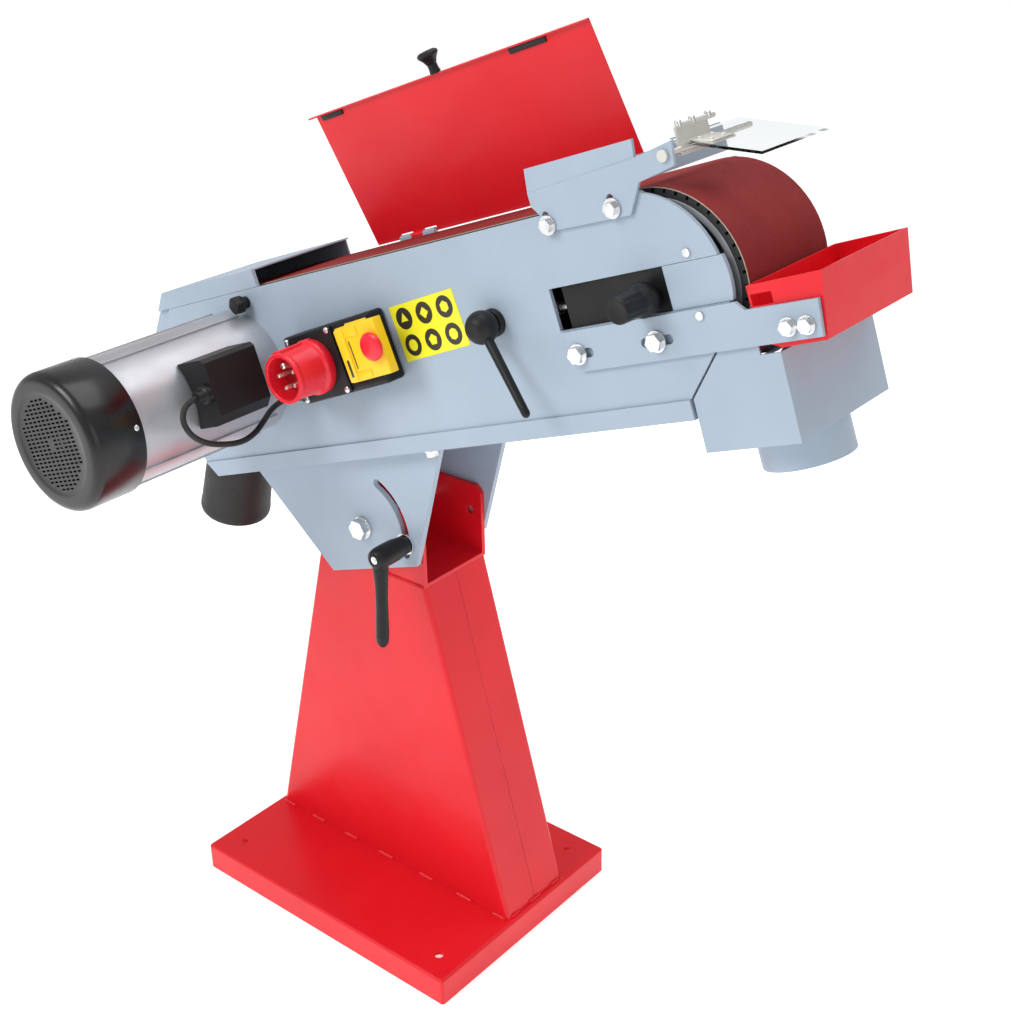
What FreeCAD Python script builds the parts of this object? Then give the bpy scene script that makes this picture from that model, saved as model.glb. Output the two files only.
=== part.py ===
"""Pedestal belt grinder for 150 x 2000 mm belts: stand, tilting head, motor drive and guards.

Units are millimetres. The world frame has its origin at the centre of the base plate's underside,
+Z up and +X towards the contact wheel. The head is drawn in its own frame (u along the head, y across,
w normal to it) with its origin on the pivot bolt, and is then tilted and lifted onto the stand.
"""
import FreeCAD, Part
import math
import os
from FreeCAD import Vector

os.makedirs("parts", exist_ok=True)

# ---------------------------------------------------------------- driving dimensions
BELT_WIDTH = 150.0
BELT_LENGTH = 2000.0
WHEEL_R = 100.0
BELT_GAP = 0.35
BELT_T = 1.2

BASE_LENGTH, BASE_WIDTH, BASE_HEIGHT, BASE_T = 460.0, 352.0, 40.0, 5.0
BOLT_SPACING_X, BOLT_SPACING_Y, BOLT_HOLE_R = 385.0, 280.0, 6.0

HEAD_Y = 28.0                     # the column and head stand off the base's centre line
COLUMN_BOTTOM, COLUMN_TOP = 222.0, 96.0      # half lengths along X
COLUMN_HALF_WIDTH = 60.0
COLUMN_TOP_Z = 517.0
SHEET_T = 3.0
SEAM_GAP = 0.6

PIVOT_Z = 580.0
TILT = 20.0                       # the head's tilt at rest, front end up
CLAMP_REACH = 76.0                # clamp stud from the pivot
YOKE_TOP_Z = 618.0
YOKE_T = 6.0
BRACKET_T = 8.0
BRACKET_GAP = 0.6

HEAD_HALF = 88.7                  # centre plane to the main plate's outer face
PLATE_T = 5.0
FLOOR_W, PLATE_TOP_W = 95.5, 332.0
FLOOR_T = 4.0
FLANGE_TOP_W = 117.0
HEAD_REAR_U, HEAD_FRONT_U = -258.0, 583.0

AXLE_U, AXLE_W = 577.0, 232.0
WHEEL_SPACING = (BELT_LENGTH - 2 * math.pi * (WHEEL_R + BELT_T / 2)) / 2
DRIVE_U = AXLE_U - WHEEL_SPACING
SLOT_HALF = 23.2                  # half height of the axle carriage's slot
WINDOW_U = 439.0
TENSION_TRAVEL = 12.0
CAM_REACH = 30.0

MOTOR_R = 82.0
FAN_COVER_R = 86.5
MOTOR_BACK_Y, FAN_COVER_Y = -318.8, -391.0

# Points on the head, as (u, w) unless noted
DOOR_HINGE = (HEAD_HALF + 4.4, FLANGE_TOP_W + 4)       # (y, w)
COVER_HINGE = (HEAD_HALF + 4.4, PLATE_TOP_W + 3)       # (y, w)
COVER_OPEN = 78.0
TENSION_PIVOT = (350.0, AXLE_W)
REST_BOLTS = [(459.5, 182.5), (565.0, 182.5)]
SHIELD_BOLTS = [(467.0, 321.0), (554.5, 322.0)]
SHIELD_PIVOT = (631.5, 359.0)
TRAY_BOLTS = [(720.5, 176.0), (741.0, 175.0)]
HOOD_KNOB = (-59.5, 317.0)
TRACKING_KNOB = (566.0, 227.0)
ARM_T, BRACKET_PLATE_T = 4.6, 4.0

# Outlets for 100 mm hoses
SPIGOT_R = 50.0
DUST_SPIGOT_U = 645.0
SPIGOT_LEAN = 35.0
REAR_SPIGOT_Y = -20.0

# Switch box, turned a little on the plate, and the cable to it as (u, y, w) points
SWITCH_TURN = 3.6
SWITCH_CENTRE = (97.0, 227.0)
SWITCH_FRONT_Y = -119.0
SWITCH_HALF_HEIGHT = 43.0
FLAP_HINGE_Z = 36.0
MUSHROOM = (104.0, 5.0)
CABLE_R = 3.6
MOTOR_GLAND = (4.0, -236.0, 234.0)
BOX_GLAND = (26.0, -104.0, 192.0)
CABLE_POINTS = [(4, -254, 234), (4.3, -270, 233), (5.5, -284, 217), (6.5, -280, 196), (5.5, -262, 180),
                (3, -236, 170), (0, -209, 164), (-5, -184, 166), (-12, -160, 174), (-24, -133, 184),
                (-19, -112, 190), (0, -104, 192)]

# ---------------------------------------------------------------- helpers
HEAD_PLACEMENT = FreeCAD.Placement(Vector(0, HEAD_Y, PIVOT_Z), FreeCAD.Rotation(Vector(0, 1, 0), -TILT))
HEAD_CENTRE = FreeCAD.Placement(Vector(0, HEAD_Y, 0), FreeCAD.Rotation())


def save(name, shape):
    """Write one node, and report its volume and whether it is a valid shape."""
    shape = shape.removeSplitter()
    shape.exportStep("parts/%s.step" % name)
    print("%-22s %3d solids %10.0f mm3 valid=%s" % (name, len(shape.Solids), shape.Volume, shape.isValid()))


def save_on_head(name, *shapes):
    """Write a node that was drawn in the head's frame."""
    whole = shapes[0] if len(shapes) == 1 else Part.makeCompound(list(shapes))
    whole = whole.copy()
    whole.Placement = HEAD_PLACEMENT.multiply(whole.Placement)
    save(name, whole)


def save_on_stand(name, *shapes):
    """Write a node that was drawn with y = 0 on the column's centre plane."""
    whole = shapes[0] if len(shapes) == 1 else Part.makeCompound(list(shapes))
    whole = whole.copy()
    whole.Placement = HEAD_CENTRE.multiply(whole.Placement)
    save(name, whole)


def box(x0, x1, y0, y1, z0, z1):
    return Part.makeBox(x1 - x0, y1 - y0, z1 - z0, Vector(x0, y0, z0))


def outline(points, y):
    """Closed wire at height y from (u, w) points; a 4-tuple is an arc's middle and end."""
    edges = []
    start = Vector(points[0][0], y, points[0][1])
    here = start
    for point in points[1:] + [points[0]]:
        end = Vector(point[-2], y, point[-1])
        if len(point) == 4:
            edges.append(Part.Arc(here, Vector(point[0], y, point[1]), end).toShape())
        elif end.distanceToPoint(here) > 1e-6:
            edges.append(Part.LineSegment(here, end).toShape())
        here = end
    return Part.Wire(edges)


def plate(points, y0, y1):
    """Flat plate in the u-w plane between y0 and y1."""
    return Part.Face(outline(points, y0)).extrude(Vector(0, y1 - y0, 0))


def rod_y(u, w, r, y0, y1):
    return Part.makeCylinder(r, y1 - y0, Vector(u, y0, w), Vector(0, 1, 0))


def rod_u(y, w, r, u0, u1):
    return Part.makeCylinder(r, u1 - u0, Vector(u0, y, w), Vector(1, 0, 0))


def rod_w(u, y, r, w0, w1):
    return Part.makeCylinder(r, w1 - w0, Vector(u, y, w0), Vector(0, 0, 1))


def hexagon_y(u, w, across, y0, y1):
    """Hexagonal prism along y."""
    corner = across / math.sqrt(3)
    points = [(u + corner * math.cos(math.radians(60 * k)), w + corner * math.sin(math.radians(60 * k)))
              for k in range(6)]
    return plate(points, y0, y1)


def slot_y(u0, w0, u1, w1, r, y0, y1):
    """Straight slot with round ends, along y."""
    length = math.hypot(u1 - u0, w1 - w0)
    side = Vector(-(w1 - w0) / length * r, 0, (u1 - u0) / length * r)
    a, b = Vector(u0, y0, w0), Vector(u1, y0, w1)
    wire = Part.Wire([Part.LineSegment(a + side, b + side).toShape(),
                      Part.LineSegment(b + side, b - side).toShape(),
                      Part.LineSegment(b - side, a - side).toShape(),
                      Part.LineSegment(a - side, a + side).toShape()])
    return Part.Face(wire).extrude(Vector(0, y1 - y0, 0)).fuse(
        [rod_y(u0, w0, r, y0, y1), rod_y(u1, w1, r, y0, y1)])


def hex_bolt(u, w, face_y, size, length, washer_r, washer_t=2.0):
    """Bolt along y whose washer sits on the plane face_y, with its head towards -y."""
    head_h = size * 0.65
    washer = rod_y(u, w, washer_r, face_y - washer_t, face_y)
    head = hexagon_y(u, w, size * 1.7, face_y - washer_t - head_h, face_y - washer_t)
    shank = rod_y(u, w, size / 2, face_y - washer_t, face_y + length)
    return washer.fuse([head, shank])


def tube_y(u, w, r_out, r_in, y0, y1):
    return rod_y(u, w, r_out, y0, y1).cut(rod_y(u, w, r_in, y0 - 1, y1 + 1))


def revolve_y(points, u, w):
    """Solid of revolution about the y axis through (u, w); points are (radius, y)."""
    wire = Part.makePolygon([Vector(u + r, y, w) for r, y in points + points[:1]])
    return Part.Face(wire).revolve(Vector(u, 0, w), Vector(0, 1, 0), 360)


# ---------------------------------------------------------------- stand
def make_base():
    """Folded pan: a top sheet with four turned-down sides and rounded upper edges."""
    x, y = BASE_LENGTH / 2, BASE_WIDTH / 2
    outer = box(-x, x, -y, y, 0, BASE_HEIGHT)
    upper = [e for e in outer.Edges if min(v.Z for v in e.Vertexes) > BASE_HEIGHT - 0.1]
    upright = [e for e in outer.Edges if abs(e.Vertexes[0].Z - e.Vertexes[1].Z) > 1]
    outer = outer.makeFillet(4.0, upper + upright)
    pan = outer.cut(box(-x + BASE_T, x - BASE_T, -y + BASE_T, y - BASE_T, -1, BASE_HEIGHT - BASE_T))
    for sx in (-1, 1):
        for sy in (-1, 1):
            pan = pan.cut(rod_w(sx * BOLT_SPACING_X / 2, sy * BOLT_SPACING_Y / 2, BOLT_HOLE_R, 0, 60))
    save("base_plate", pan)


def column_solid(inset):
    """The tapered column as a solid, drawn inset from its outer faces."""
    y = COLUMN_HALF_WIDTH - inset
    return plate([(-COLUMN_BOTTOM + inset, BASE_HEIGHT), (COLUMN_BOTTOM - inset, BASE_HEIGHT),
                  (COLUMN_TOP - inset, COLUMN_TOP_Z), (-COLUMN_TOP + inset, COLUMN_TOP_Z)], -y, y)


def make_column():
    """Two folded sheets that meet in a seam down the front and the back."""
    outer = column_solid(0)
    soft = [e for e in outer.Edges
            if abs(e.Vertexes[0].Z - e.Vertexes[1].Z) > 100]
    shell = outer.makeFillet(6.0, soft).cut(column_solid(SHEET_T))
    reach = COLUMN_BOTTOM + 10
    near = shell.common(box(-reach, reach, -100, -SEAM_GAP / 2, 0, COLUMN_TOP_Z))
    far = shell.common(box(-reach, reach, SEAM_GAP / 2, 100, 0, COLUMN_TOP_Z))
    save_on_stand("column_near_half", near)
    save_on_stand("column_far_half", far)


def clamp_point():
    return CLAMP_REACH, PIVOT_Z


def make_yoke():
    """Upright yoke on the column: a foot plate, two cheeks and a web behind them."""
    half = COLUMN_HALF_WIDTH
    top, chamfer = YOKE_TOP_Z, 9.0
    cheek = [(-COLUMN_TOP, COLUMN_TOP_Z), (COLUMN_TOP, COLUMN_TOP_Z), (COLUMN_TOP, top - chamfer),
             (COLUMN_TOP - chamfer, top), (-COLUMN_TOP + chamfer, top), (-COLUMN_TOP, top - chamfer)]
    near = plate(cheek, -half, -half + YOKE_T)
    far = plate(cheek, half - YOKE_T, half)
    foot = box(-COLUMN_TOP, COLUMN_TOP, -half, half, COLUMN_TOP_Z, COLUMN_TOP_Z + 5)
    web = box(-COLUMN_TOP, -COLUMN_TOP + 4, -half, half, COLUMN_TOP_Z, COLUMN_TOP_Z + 60)
    yoke = near.fuse([far, foot, web])
    cx, cz = clamp_point()
    yoke = yoke.cut(rod_y(0, PIVOT_Z, 8.0, -half - 1, half + 1))
    yoke = yoke.cut(rod_y(cx, cz, 6.0, -half - 1, half + 1))
    save_on_stand("yoke", yoke)


def bracket_outer():
    return COLUMN_HALF_WIDTH + BRACKET_GAP + BRACKET_T


def make_pivot_bolt():
    """Through bolt that the head tilts on, with a washer, head and nut outside the brackets."""
    face = bracket_outer() + 0.4
    shank = rod_y(0, PIVOT_Z, 7.95, -face - 2, face + 2)
    parts = [shank]
    for side in (-1, 1):
        inner, mid, outer = side * face, side * (face + 2.5), side * (face + 13)
        parts.append(rod_y(0, PIVOT_Z, 15, min(inner, mid), max(inner, mid)))
        parts.append(hexagon_y(0, PIVOT_Z, 24, min(mid, outer), max(mid, outer)))
    save_on_stand("pivot_bolt", parts[0].fuse(parts[1:]))


def make_clamp():
    """Clamp stud through the near cheek and the near bracket's arc slot, and its hanging lever."""
    cx, cz = clamp_point()
    face = bracket_outer() + 0.4
    inside = -COLUMN_HALF_WIDTH + YOKE_T + 0.3
    stud = rod_y(cx, cz, 5.9, -face - 26, inside + 8)
    near_washer = tube_y(cx, cz, 14, 5.0, -face - 3, -face)
    head = hexagon_y(cx, cz, 19, inside, inside + 7)
    save_on_stand("clamp_stud", stud.fuse([near_washer, head]))

    hub_y0, hub_y1 = -face - 60, -face - 3.4
    hub = revolve_y([(0, hub_y0), (9, hub_y0), (13, hub_y0 + 5), (14.5, hub_y1 - 8),
                     (12, hub_y1), (0, hub_y1)], cx, cz)
    hub = hub.cut(rod_y(cx, cz, 6.0, -face - 26.3, hub_y1 + 1))
    arm_y = hub_y0 + 12
    neck = Part.makeCone(10.0, 9.0, 26, Vector(cx, arm_y, cz - 4), Vector(0.0, -0.05, -1))
    grip = Part.makeCone(8.6, 7.4, 96, Vector(cx, arm_y - 1, cz - 26), Vector(0.03, -0.06, -1))
    tip = Part.makeSphere(7.4, Vector(cx + 2.9, arm_y - 6.7, cz - 121.6))
    save_on_stand("clamp_lever", hub.fuse([neck, grip, tip]))


# ---------------------------------------------------------------- head structure
def front_arc(radius):
    """Points along the main plate's round nose, whose centre is behind the axle."""
    centre = AXLE_U - 17
    top = math.radians(72)
    low = math.asin(SLOT_HALF / radius)
    mid = (top + low) / 2
    return [(centre + radius * math.cos(a), AXLE_W + radius * math.sin(a)) for a in (low, mid, top)]


def side_profile():
    """Outline of the main plate, anticlockwise from the rear of its lower edge."""
    low, mid, top = front_arc(WHEEL_R + 2)
    return [(-237, FLOOR_W), (HEAD_FRONT_U, FLOOR_W), (HEAD_FRONT_U, FLANGE_TOP_W), (626, 160.5),
            (657, 192), (low[0], AXLE_W - SLOT_HALF), low,
            (mid[0], mid[1], top[0], top[1]), (588, PLATE_TOP_W), (-224, PLATE_TOP_W),
            (HEAD_REAR_U, 298), (HEAD_REAR_U, 122)]


def make_main_plate():
    """Near side plate that carries the motor, the guards and the contact wheel's carriage."""
    outer, inner = -HEAD_HALF, -HEAD_HALF + PLATE_T
    body = plate(side_profile(), outer, inner)
    slot = box(WINDOW_U, 700, outer - 1, inner + 1, AXLE_W - SLOT_HALF, AXLE_W + SLOT_HALF)
    body = body.cut(slot)
    body = body.cut(rod_y(DRIVE_U, AXLE_W, 45, outer - 1, inner + 1))
    body = body.cut(rod_y(TENSION_PIVOT[0], TENSION_PIVOT[1], 8.0, outer - 1, inner + 1))
    for u, w in REST_BOLTS:
        body = body.cut(rod_y(u, w, 5.3, outer - 1, inner + 1))
    for u, w in SHIELD_BOLTS:
        body = body.cut(rod_y(u, w, 5.0, outer - 1, inner + 1))
    body = body.cut(rod_y(HOOD_KNOB[0], HOOD_KNOB[1], 4.0, outer - 1, inner + 1))
    save_on_head("main_plate", body)


def make_floor():
    """Channel under the head: a floor with a flange up each side, open at both ends to the dust hoods."""
    y = HEAD_HALF
    floor = box(-212, HEAD_FRONT_U, -y + PLATE_T, y, FLOOR_W, FLOOR_W + FLOOR_T)
    near = plate([(-237, FLOOR_W), (HEAD_FRONT_U, FLOOR_W), (HEAD_FRONT_U, FLANGE_TOP_W),
                  (-254, FLANGE_TOP_W)], -y - 2.5, -y)
    far = box(-212, HEAD_FRONT_U, y - 3, y, FLOOR_W, FLANGE_TOP_W - 3)
    floor = floor.fuse([near, far])
    save_on_head("head_floor", floor)


def make_tilt_brackets():
    """Two trapezoid brackets under the floor; the near one has the clamp's arc slot."""
    points = [(-178, FLOOR_W), (-88, -58), (77, -58), (186, FLOOR_W)]
    for name, side in (("near_tilt_bracket", -1), ("far_tilt_bracket", 1)):
        inner = side * (COLUMN_HALF_WIDTH + BRACKET_GAP)
        outer = side * bracket_outer()
        y0, y1 = min(inner, outer), max(inner, outer)
        body = plate(points, y0, y1)
        body = body.cut(rod_y(0, 0, 8.0, y0 - 1, y1 + 1))
        if side < 0:
            body = body.cut(arc_slot(CLAMP_REACH, 6.3, -32.0, 47.0, y0 - 1, y1 + 1))
        save_on_head(name, body)


def arc_slot(radius, half, start, end, y0, y1):
    """Curved slot about the pivot between two angles, in degrees above the u axis."""
    def at(r, angle):
        return (r * math.cos(math.radians(angle)), r * math.sin(math.radians(angle)))
    middle = (start + end) / 2
    inner_mid, inner_start = at(radius - half, middle), at(radius - half, start)
    outer_mid, outer_end = at(radius + half, middle), at(radius + half, end)
    band = plate([at(radius + half, start), (outer_mid[0], outer_mid[1], outer_end[0], outer_end[1]),
                  at(radius - half, end), (inner_mid[0], inner_mid[1], inner_start[0], inner_start[1])],
                 y0, y1)
    ends = [rod_y(at(radius, a)[0], at(radius, a)[1], half, y0, y1) for a in (start, end)]
    return band.fuse(ends)


def make_head_bolts():
    """Every screw fixed to the head: floor, guide, rest arm and upper bracket screws."""
    bolts = []
    for u, side in ((181, -1), (181, 1)):
        y = side * (bracket_outer() + 10.5)
        head = Part.Face(Part.makePolygon([
            Vector(u + 8.5 * math.cos(math.radians(60 * k)), y + 8.5 * math.sin(math.radians(60 * k)),
                   FLOOR_W - 9) for k in range(7)])).extrude(Vector(0, 0, 7))
        washer = rod_w(u, y, 10, FLOOR_W - 2, FLOOR_W)
        bolts.append(head.fuse([washer]))
    bolts.append(rod_y(625, 263.3, 4.5, -HEAD_HALF - 2.2, -HEAD_HALF))
    for u, w in REST_BOLTS:
        bolts.append(hex_bolt(u, w, -HEAD_HALF - ARM_T - 0.8, 10, 10.4, 11.5))
    for u, w in SHIELD_BOLTS:
        bolts.append(hex_bolt(u, w, -HEAD_HALF - BRACKET_PLATE_T - 0.8, 8, 9.8, 10.5))
    save_on_head("head_bolts", *bolts)


# ---------------------------------------------------------------- far side door and top cover
def hinge_knuckle(y, w, r, bore, u0, u1):
    return rod_u(y, w, r, u0, u1).cut(rod_u(y, w, bore, u0 - 1, u1 + 1))


def make_belt_door():
    """Far side wall on a bottom hinge; it swings out to let the belt off the wheels."""
    inner, outer = HEAD_HALF - 3, HEAD_HALF
    base_w = FLANGE_TOP_W + 0.5
    low, mid, top = front_arc(WHEEL_R + 2)
    points = [(-240, base_w), (580, base_w), (626, 163.5), (657, 196), low,
              (mid[0], mid[1], top[0], top[1]), (588, PLATE_TOP_W), (-26, PLATE_TOP_W),
              (-26, 290), (-240, 290)]
    door = plate(points, inner, outer)
    y, w = DOOR_HINGE
    for centre in (-60, 300):
        door = door.fuse([hinge_knuckle(y, w, 4.0, 2.6, centre - 15, centre + 15),
                          box(centre - 15, centre + 15, outer, y, w + 1.5, w + 3.9)])
    door = cut_hinge_bore(door, DOOR_HINGE, 2.6)
    door = door.fuse(box(-26, 588, inner - 8, inner, PLATE_TOP_W - 14, PLATE_TOP_W - 12))
    cy, cw = COVER_HINGE
    for centre in (90, 430):
        door = door.fuse([hinge_knuckle(cy, cw, 4.0, 2.6, centre - 32, centre - 11),
                          hinge_knuckle(cy, cw, 4.0, 2.6, centre + 11, centre + 32),
                          box(centre - 32, centre - 11, outer, cy, cw - 8, cw - 1.5),
                          box(centre + 11, centre + 32, outer, cy, cw - 8, cw - 1.5)])
    door = cut_hinge_bore(door, COVER_HINGE, 2.6)
    save_on_head("belt_door", door)


def cut_hinge_bore(shape, hinge, r):
    return shape.cut(rod_u(hinge[0], hinge[1], r, -300, 700))


def make_door_hinges():
    """The floor's half of the door hinges: knuckles and pins fixed to the far flange."""
    y, w = DOOR_HINGE
    parts = []
    for centre in (-60, 300):
        for u0 in (centre - 36, centre + 15.6):
            knuckle = rod_u(y, w, 4.0, u0, u0 + 20.4)
            tab = box(u0, u0 + 20.4, HEAD_HALF, HEAD_HALF + 3.3, w - 20, w - 1)
            parts.append(knuckle.fuse(tab))
        parts.append(rod_u(y, w, 2.5, centre - 15.6, centre + 15.6))
    save_on_head("door_hinges", *parts)


def make_top_cover():
    """Folded lid on the far side, drawn standing open, with a turned edge, handle and pads."""
    y, w = COVER_HINGE
    u0, u1, width, t = 9.0, 470.0, 181.7, 1.6
    lid = box(u0, u1, y - width, y + 1.5, w + 2.4, w + 2.4 + t)
    for centre in (90, 430):
        for a, b in ((centre - 33, centre - 10.6), (centre + 10.6, centre + 33)):
            lid = lid.cut(box(a, b, y - 5, y + 2, w, w + 5))
    rim = box(u0 - 12, u1, y - width, y - width + t, w + 2.4 - 4, w + 2.4 + t)
    lid = lid.fuse(rim)
    for centre in (90, 430):
        lid = lid.fuse([hinge_knuckle(y, w, 4.0, 2.6, centre - 10.6, centre + 10.6),
                        box(centre - 10.6, centre + 10.6, y - 8, y, w + 2.4, w + 2.4 + t)])
    lid = cut_hinge_bore(lid, COVER_HINGE, 2.6)
    handle_u, handle_w = u0 + 224, w + 1.2
    handle = Part.Face(Part.makePolygon([
        Vector(handle_u, y - width - r[1], handle_w + r[0]) for r in
        ((0, 0.0), (2.6, 0.0), (2.6, 0.5), (7, 0.5), (6, 6), (6, 11), (9, 17), (13, 22), (13, 25), (10, 27),
         (0, 27.6), (0, 0.0))])).revolve(Vector(handle_u, 0, handle_w), Vector(0, 1, 0), 360)
    swing = FreeCAD.Rotation(Vector(1, 0, 0), -COVER_OPEN)
    for name, shape in (("top_cover", lid), ("cover_handle", handle)):
        shape = shape.copy()
        turn = FreeCAD.Placement(Vector(0, y, w), swing).multiply(
            FreeCAD.Placement(Vector(0, -y, -w), FreeCAD.Rotation()))
        shape.Placement = turn.multiply(shape.Placement)
        save_on_head(name, shape)
    pins = [rod_u(y, w, 2.5, centre - 34, centre + 34) for centre in (90, 430)]
    save_on_head("cover_hinge_pins", *pins)


# ---------------------------------------------------------------- belt, wheels and carriage
def make_belt():
    """Endless abrasive belt around both wheels, a hair off their rims."""
    inner_r = WHEEL_R + BELT_GAP
    outer_r = inner_r + BELT_T

    def loop(r):
        return [(AXLE_U, AXLE_W - r), (AXLE_U + r, AXLE_W, AXLE_U, AXLE_W + r),
                (DRIVE_U, AXLE_W + r), (DRIVE_U - r, AXLE_W, DRIVE_U, AXLE_W - r)]
    half = BELT_WIDTH / 2
    belt = plate(loop(outer_r), -half, half).cut(plate(loop(inner_r), -half - 1, half + 1))
    save_on_head("abrasive_belt", belt)


def make_platen():
    """Steel bed inside the belt's upper run, with a graphite strip that the belt slides on."""
    under_belt = AXLE_W + WHEEL_R + BELT_GAP
    bed = box(40, 450, -74, 74, under_belt - 9.5, under_belt - 4.5)
    wall = box(40, 450, -83.7, -78, under_belt - 60, under_belt - 4.5)
    bridge = box(40, 450, -78, -70, under_belt - 9.5, under_belt - 4.5)
    rib = box(40, 450, -70, 60, under_belt - 34, under_belt - 28)
    post = box(40, 450, -78, -73, under_belt - 34, under_belt - 9.5)
    far_post = box(40, 450, 55, 60, under_belt - 34, under_belt - 9.5)
    save_on_head("platen_bed", bed.fuse([wall, bridge, rib, post, far_post]))
    save_on_head("platen", box(42, 448, -74, 74, under_belt - 4.5, under_belt - 0.5))


def make_drive_wheel():
    """Flat-faced steel drive wheel keyed to the motor shaft."""
    rim = tube_y(DRIVE_U, AXLE_W, WHEEL_R, WHEEL_R - 9, -75, 75)
    web = rod_y(DRIVE_U, AXLE_W, WHEEL_R - 8.5, -6, 6)
    hub = rod_y(DRIVE_U, AXLE_W, 26, -58, 40)
    wheel = rim.fuse([web, hub])
    for k in range(6):
        angle = math.radians(60 * k)
        wheel = wheel.cut(rod_y(DRIVE_U + 58 * math.cos(angle), AXLE_W + 58 * math.sin(angle), 16, -10, 10))
    wheel = wheel.cut(rod_y(DRIVE_U, AXLE_W, 14.0, -60, 45))
    save_on_head("drive_wheel", wheel)


def make_contact_wheel():
    """Aluminium wheel on two ball bearings with a grooved rubber tyre."""
    tyre_in = WHEEL_R - 8.5
    hub = tube_y(AXLE_U, AXLE_W, tyre_in, tyre_in - 7, -75, 75)
    web = rod_y(AXLE_U, AXLE_W, tyre_in - 6.5, -9, 9)
    boss = rod_y(AXLE_U, AXLE_W, 34, -44, 44)
    hub = hub.fuse([web, boss])
    for k in range(8):
        angle = math.radians(45 * k)
        hub = hub.cut(rod_y(AXLE_U + 58 * math.cos(angle), AXLE_W + 58 * math.sin(angle), 13, -12, 12))
    hub = hub.cut(rod_y(AXLE_U, AXLE_W, 20, -50, 50))
    for y0 in (-44.5, 29.5):
        hub = hub.cut(rod_y(AXLE_U, AXLE_W, 26.0, y0, y0 + 15))
    save_on_head("contact_wheel", hub)
    tyre = tube_y(AXLE_U, AXLE_W, WHEEL_R, tyre_in, -75, 75)
    count = 45
    for k in range(count):
        angle = 360.0 / count * k
        groove = box(WHEEL_R - 4.5, WHEEL_R + 2, -76, 76, -1.6, 1.6)
        groove.rotate(Vector(0, 0, 0), Vector(0, 1, 0), angle)
        groove.translate(Vector(AXLE_U, 0, AXLE_W))
        tyre = tyre.cut(groove)
    save_on_head("contact_tyre", tyre)
    bearings = []
    for y0 in (-44.0, 30.0):
        outer = tube_y(AXLE_U, AXLE_W, 26.0, 21.5, y0, y0 + 14)
        inner = tube_y(AXLE_U, AXLE_W, 17.5, 12.6, y0, y0 + 14)
        shield = tube_y(AXLE_U, AXLE_W, 21.5, 17.5, y0 + 4, y0 + 10)
        bearings.append(outer.fuse([inner, shield]))
    save_on_head("wheel_bearings", *bearings)


def make_carriage():
    """Sliding carriage behind the main plate, its flush face in the slot and the wheel's axle."""
    behind = -HEAD_HALF + PLATE_T + 0.4
    slide = box(452, 652, behind, behind + 5.5, AXLE_W - 36, AXLE_W + 36)
    boss = rod_y(AXLE_U, AXLE_W, 20, behind + 5, -46)
    save_on_head("axle_carriage", slide.fuse(boss))
    low = SLOT_HALF - 0.4
    face = plate([(591, AXLE_W - low), (664, AXLE_W - low), (667, AXLE_W, 664, AXLE_W + low),
                  (591, AXLE_W + low)], -HEAD_HALF, behind)
    save_on_head("carriage_face", face)
    axle = rod_y(AXLE_U, AXLE_W, 12.5, -46, 46)
    cap = hexagon_y(AXLE_U, AXLE_W, 30, 46, 58)
    save_on_head("wheel_axle", axle.fuse(cap))


def make_guide_strips():
    """Strips above and below the carriage, fixed to the back of the main plate."""
    strips = [box(470, 560, -HEAD_HALF + PLATE_T, -HEAD_HALF + PLATE_T + 8, w, w + 8)
              for w in (AXLE_W + 36.4, AXLE_W - 44.4)]
    save_on_head("guide_strips", *strips)


def make_tension():
    """Quick-release lever with a cam, a push rod along the head and its spring."""
    u, w = TENSION_PIVOT
    y = -HEAD_HALF
    shaft = rod_y(u, w, 7.9, y - 6, y + PLATE_T + 12)
    spiral = []
    for angle in range(-20, 101, 10):
        reach = CAM_REACH - TENSION_TRAVEL * max(0, min(angle, 70)) / 70.0
        spiral.append((u + reach * math.cos(math.radians(angle)), w + reach * math.sin(math.radians(angle))))
    spiral.append((u - 9, w + 2))
    spiral.append((u - 2, w - 9))
    cam = plate(spiral, y + PLATE_T + 0.6, y + PLATE_T + 14)
    collar = rod_y(u, w, 16, y - 8, y - 0.4)
    ball = revolve_y([(0, y - 41), (8, y - 39.3), (14, y - 35), (17.6, y - 29), (19, y - 22), (17.6, y - 15),
                      (14, y - 9), (14, y - 6), (0, y - 6)], u, w)
    end = Vector(u + 48, y - 44, w - 97)
    start = Vector(u, y - 22, w)
    direction = end - start
    rod = Part.makeCone(5.5, 4.6, direction.Length, start, direction)
    tip = Part.makeCone(4.6, 2.4, 3.2, end, direction)
    save_on_head("tension_lever", shaft.fuse(collar).fuse(cam).fuse(ball).fuse(rod).fuse(tip))
    rod_y_centre = y + PLATE_T + 8.2
    tip_u = u + CAM_REACH + 1.3
    push = rod_u(rod_y_centre, w, 4.0, tip_u + 3, 451.5)
    nose = rod_u(rod_y_centre, w, 2.0, tip_u, tip_u + 4)
    save_on_head("tension_rod", push.fuse(nose))
    coils, pitch, r = 6, 6.5, 6.4
    rings = [Part.makeTorus(r, 0.9, Vector(u + 54 + pitch * k, rod_y_centre, w), Vector(1, 0, 0))
             for k in range(coils)]
    guide = box(u + 44, u + 48, y + PLATE_T, rod_y_centre + 7, w - 7, w + 7)
    guide = guide.cut(rod_u(rod_y_centre, w, 4.3, u + 43, u + 49))
    save_on_head("tension_spring", guide, *rings)


def tube_u(y, w, r_out, r_in, u0, u1):
    return rod_u(y, w, r_out, u0, u1).cut(rod_u(y, w, r_in, u0 - 1, u1 + 1))


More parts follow.
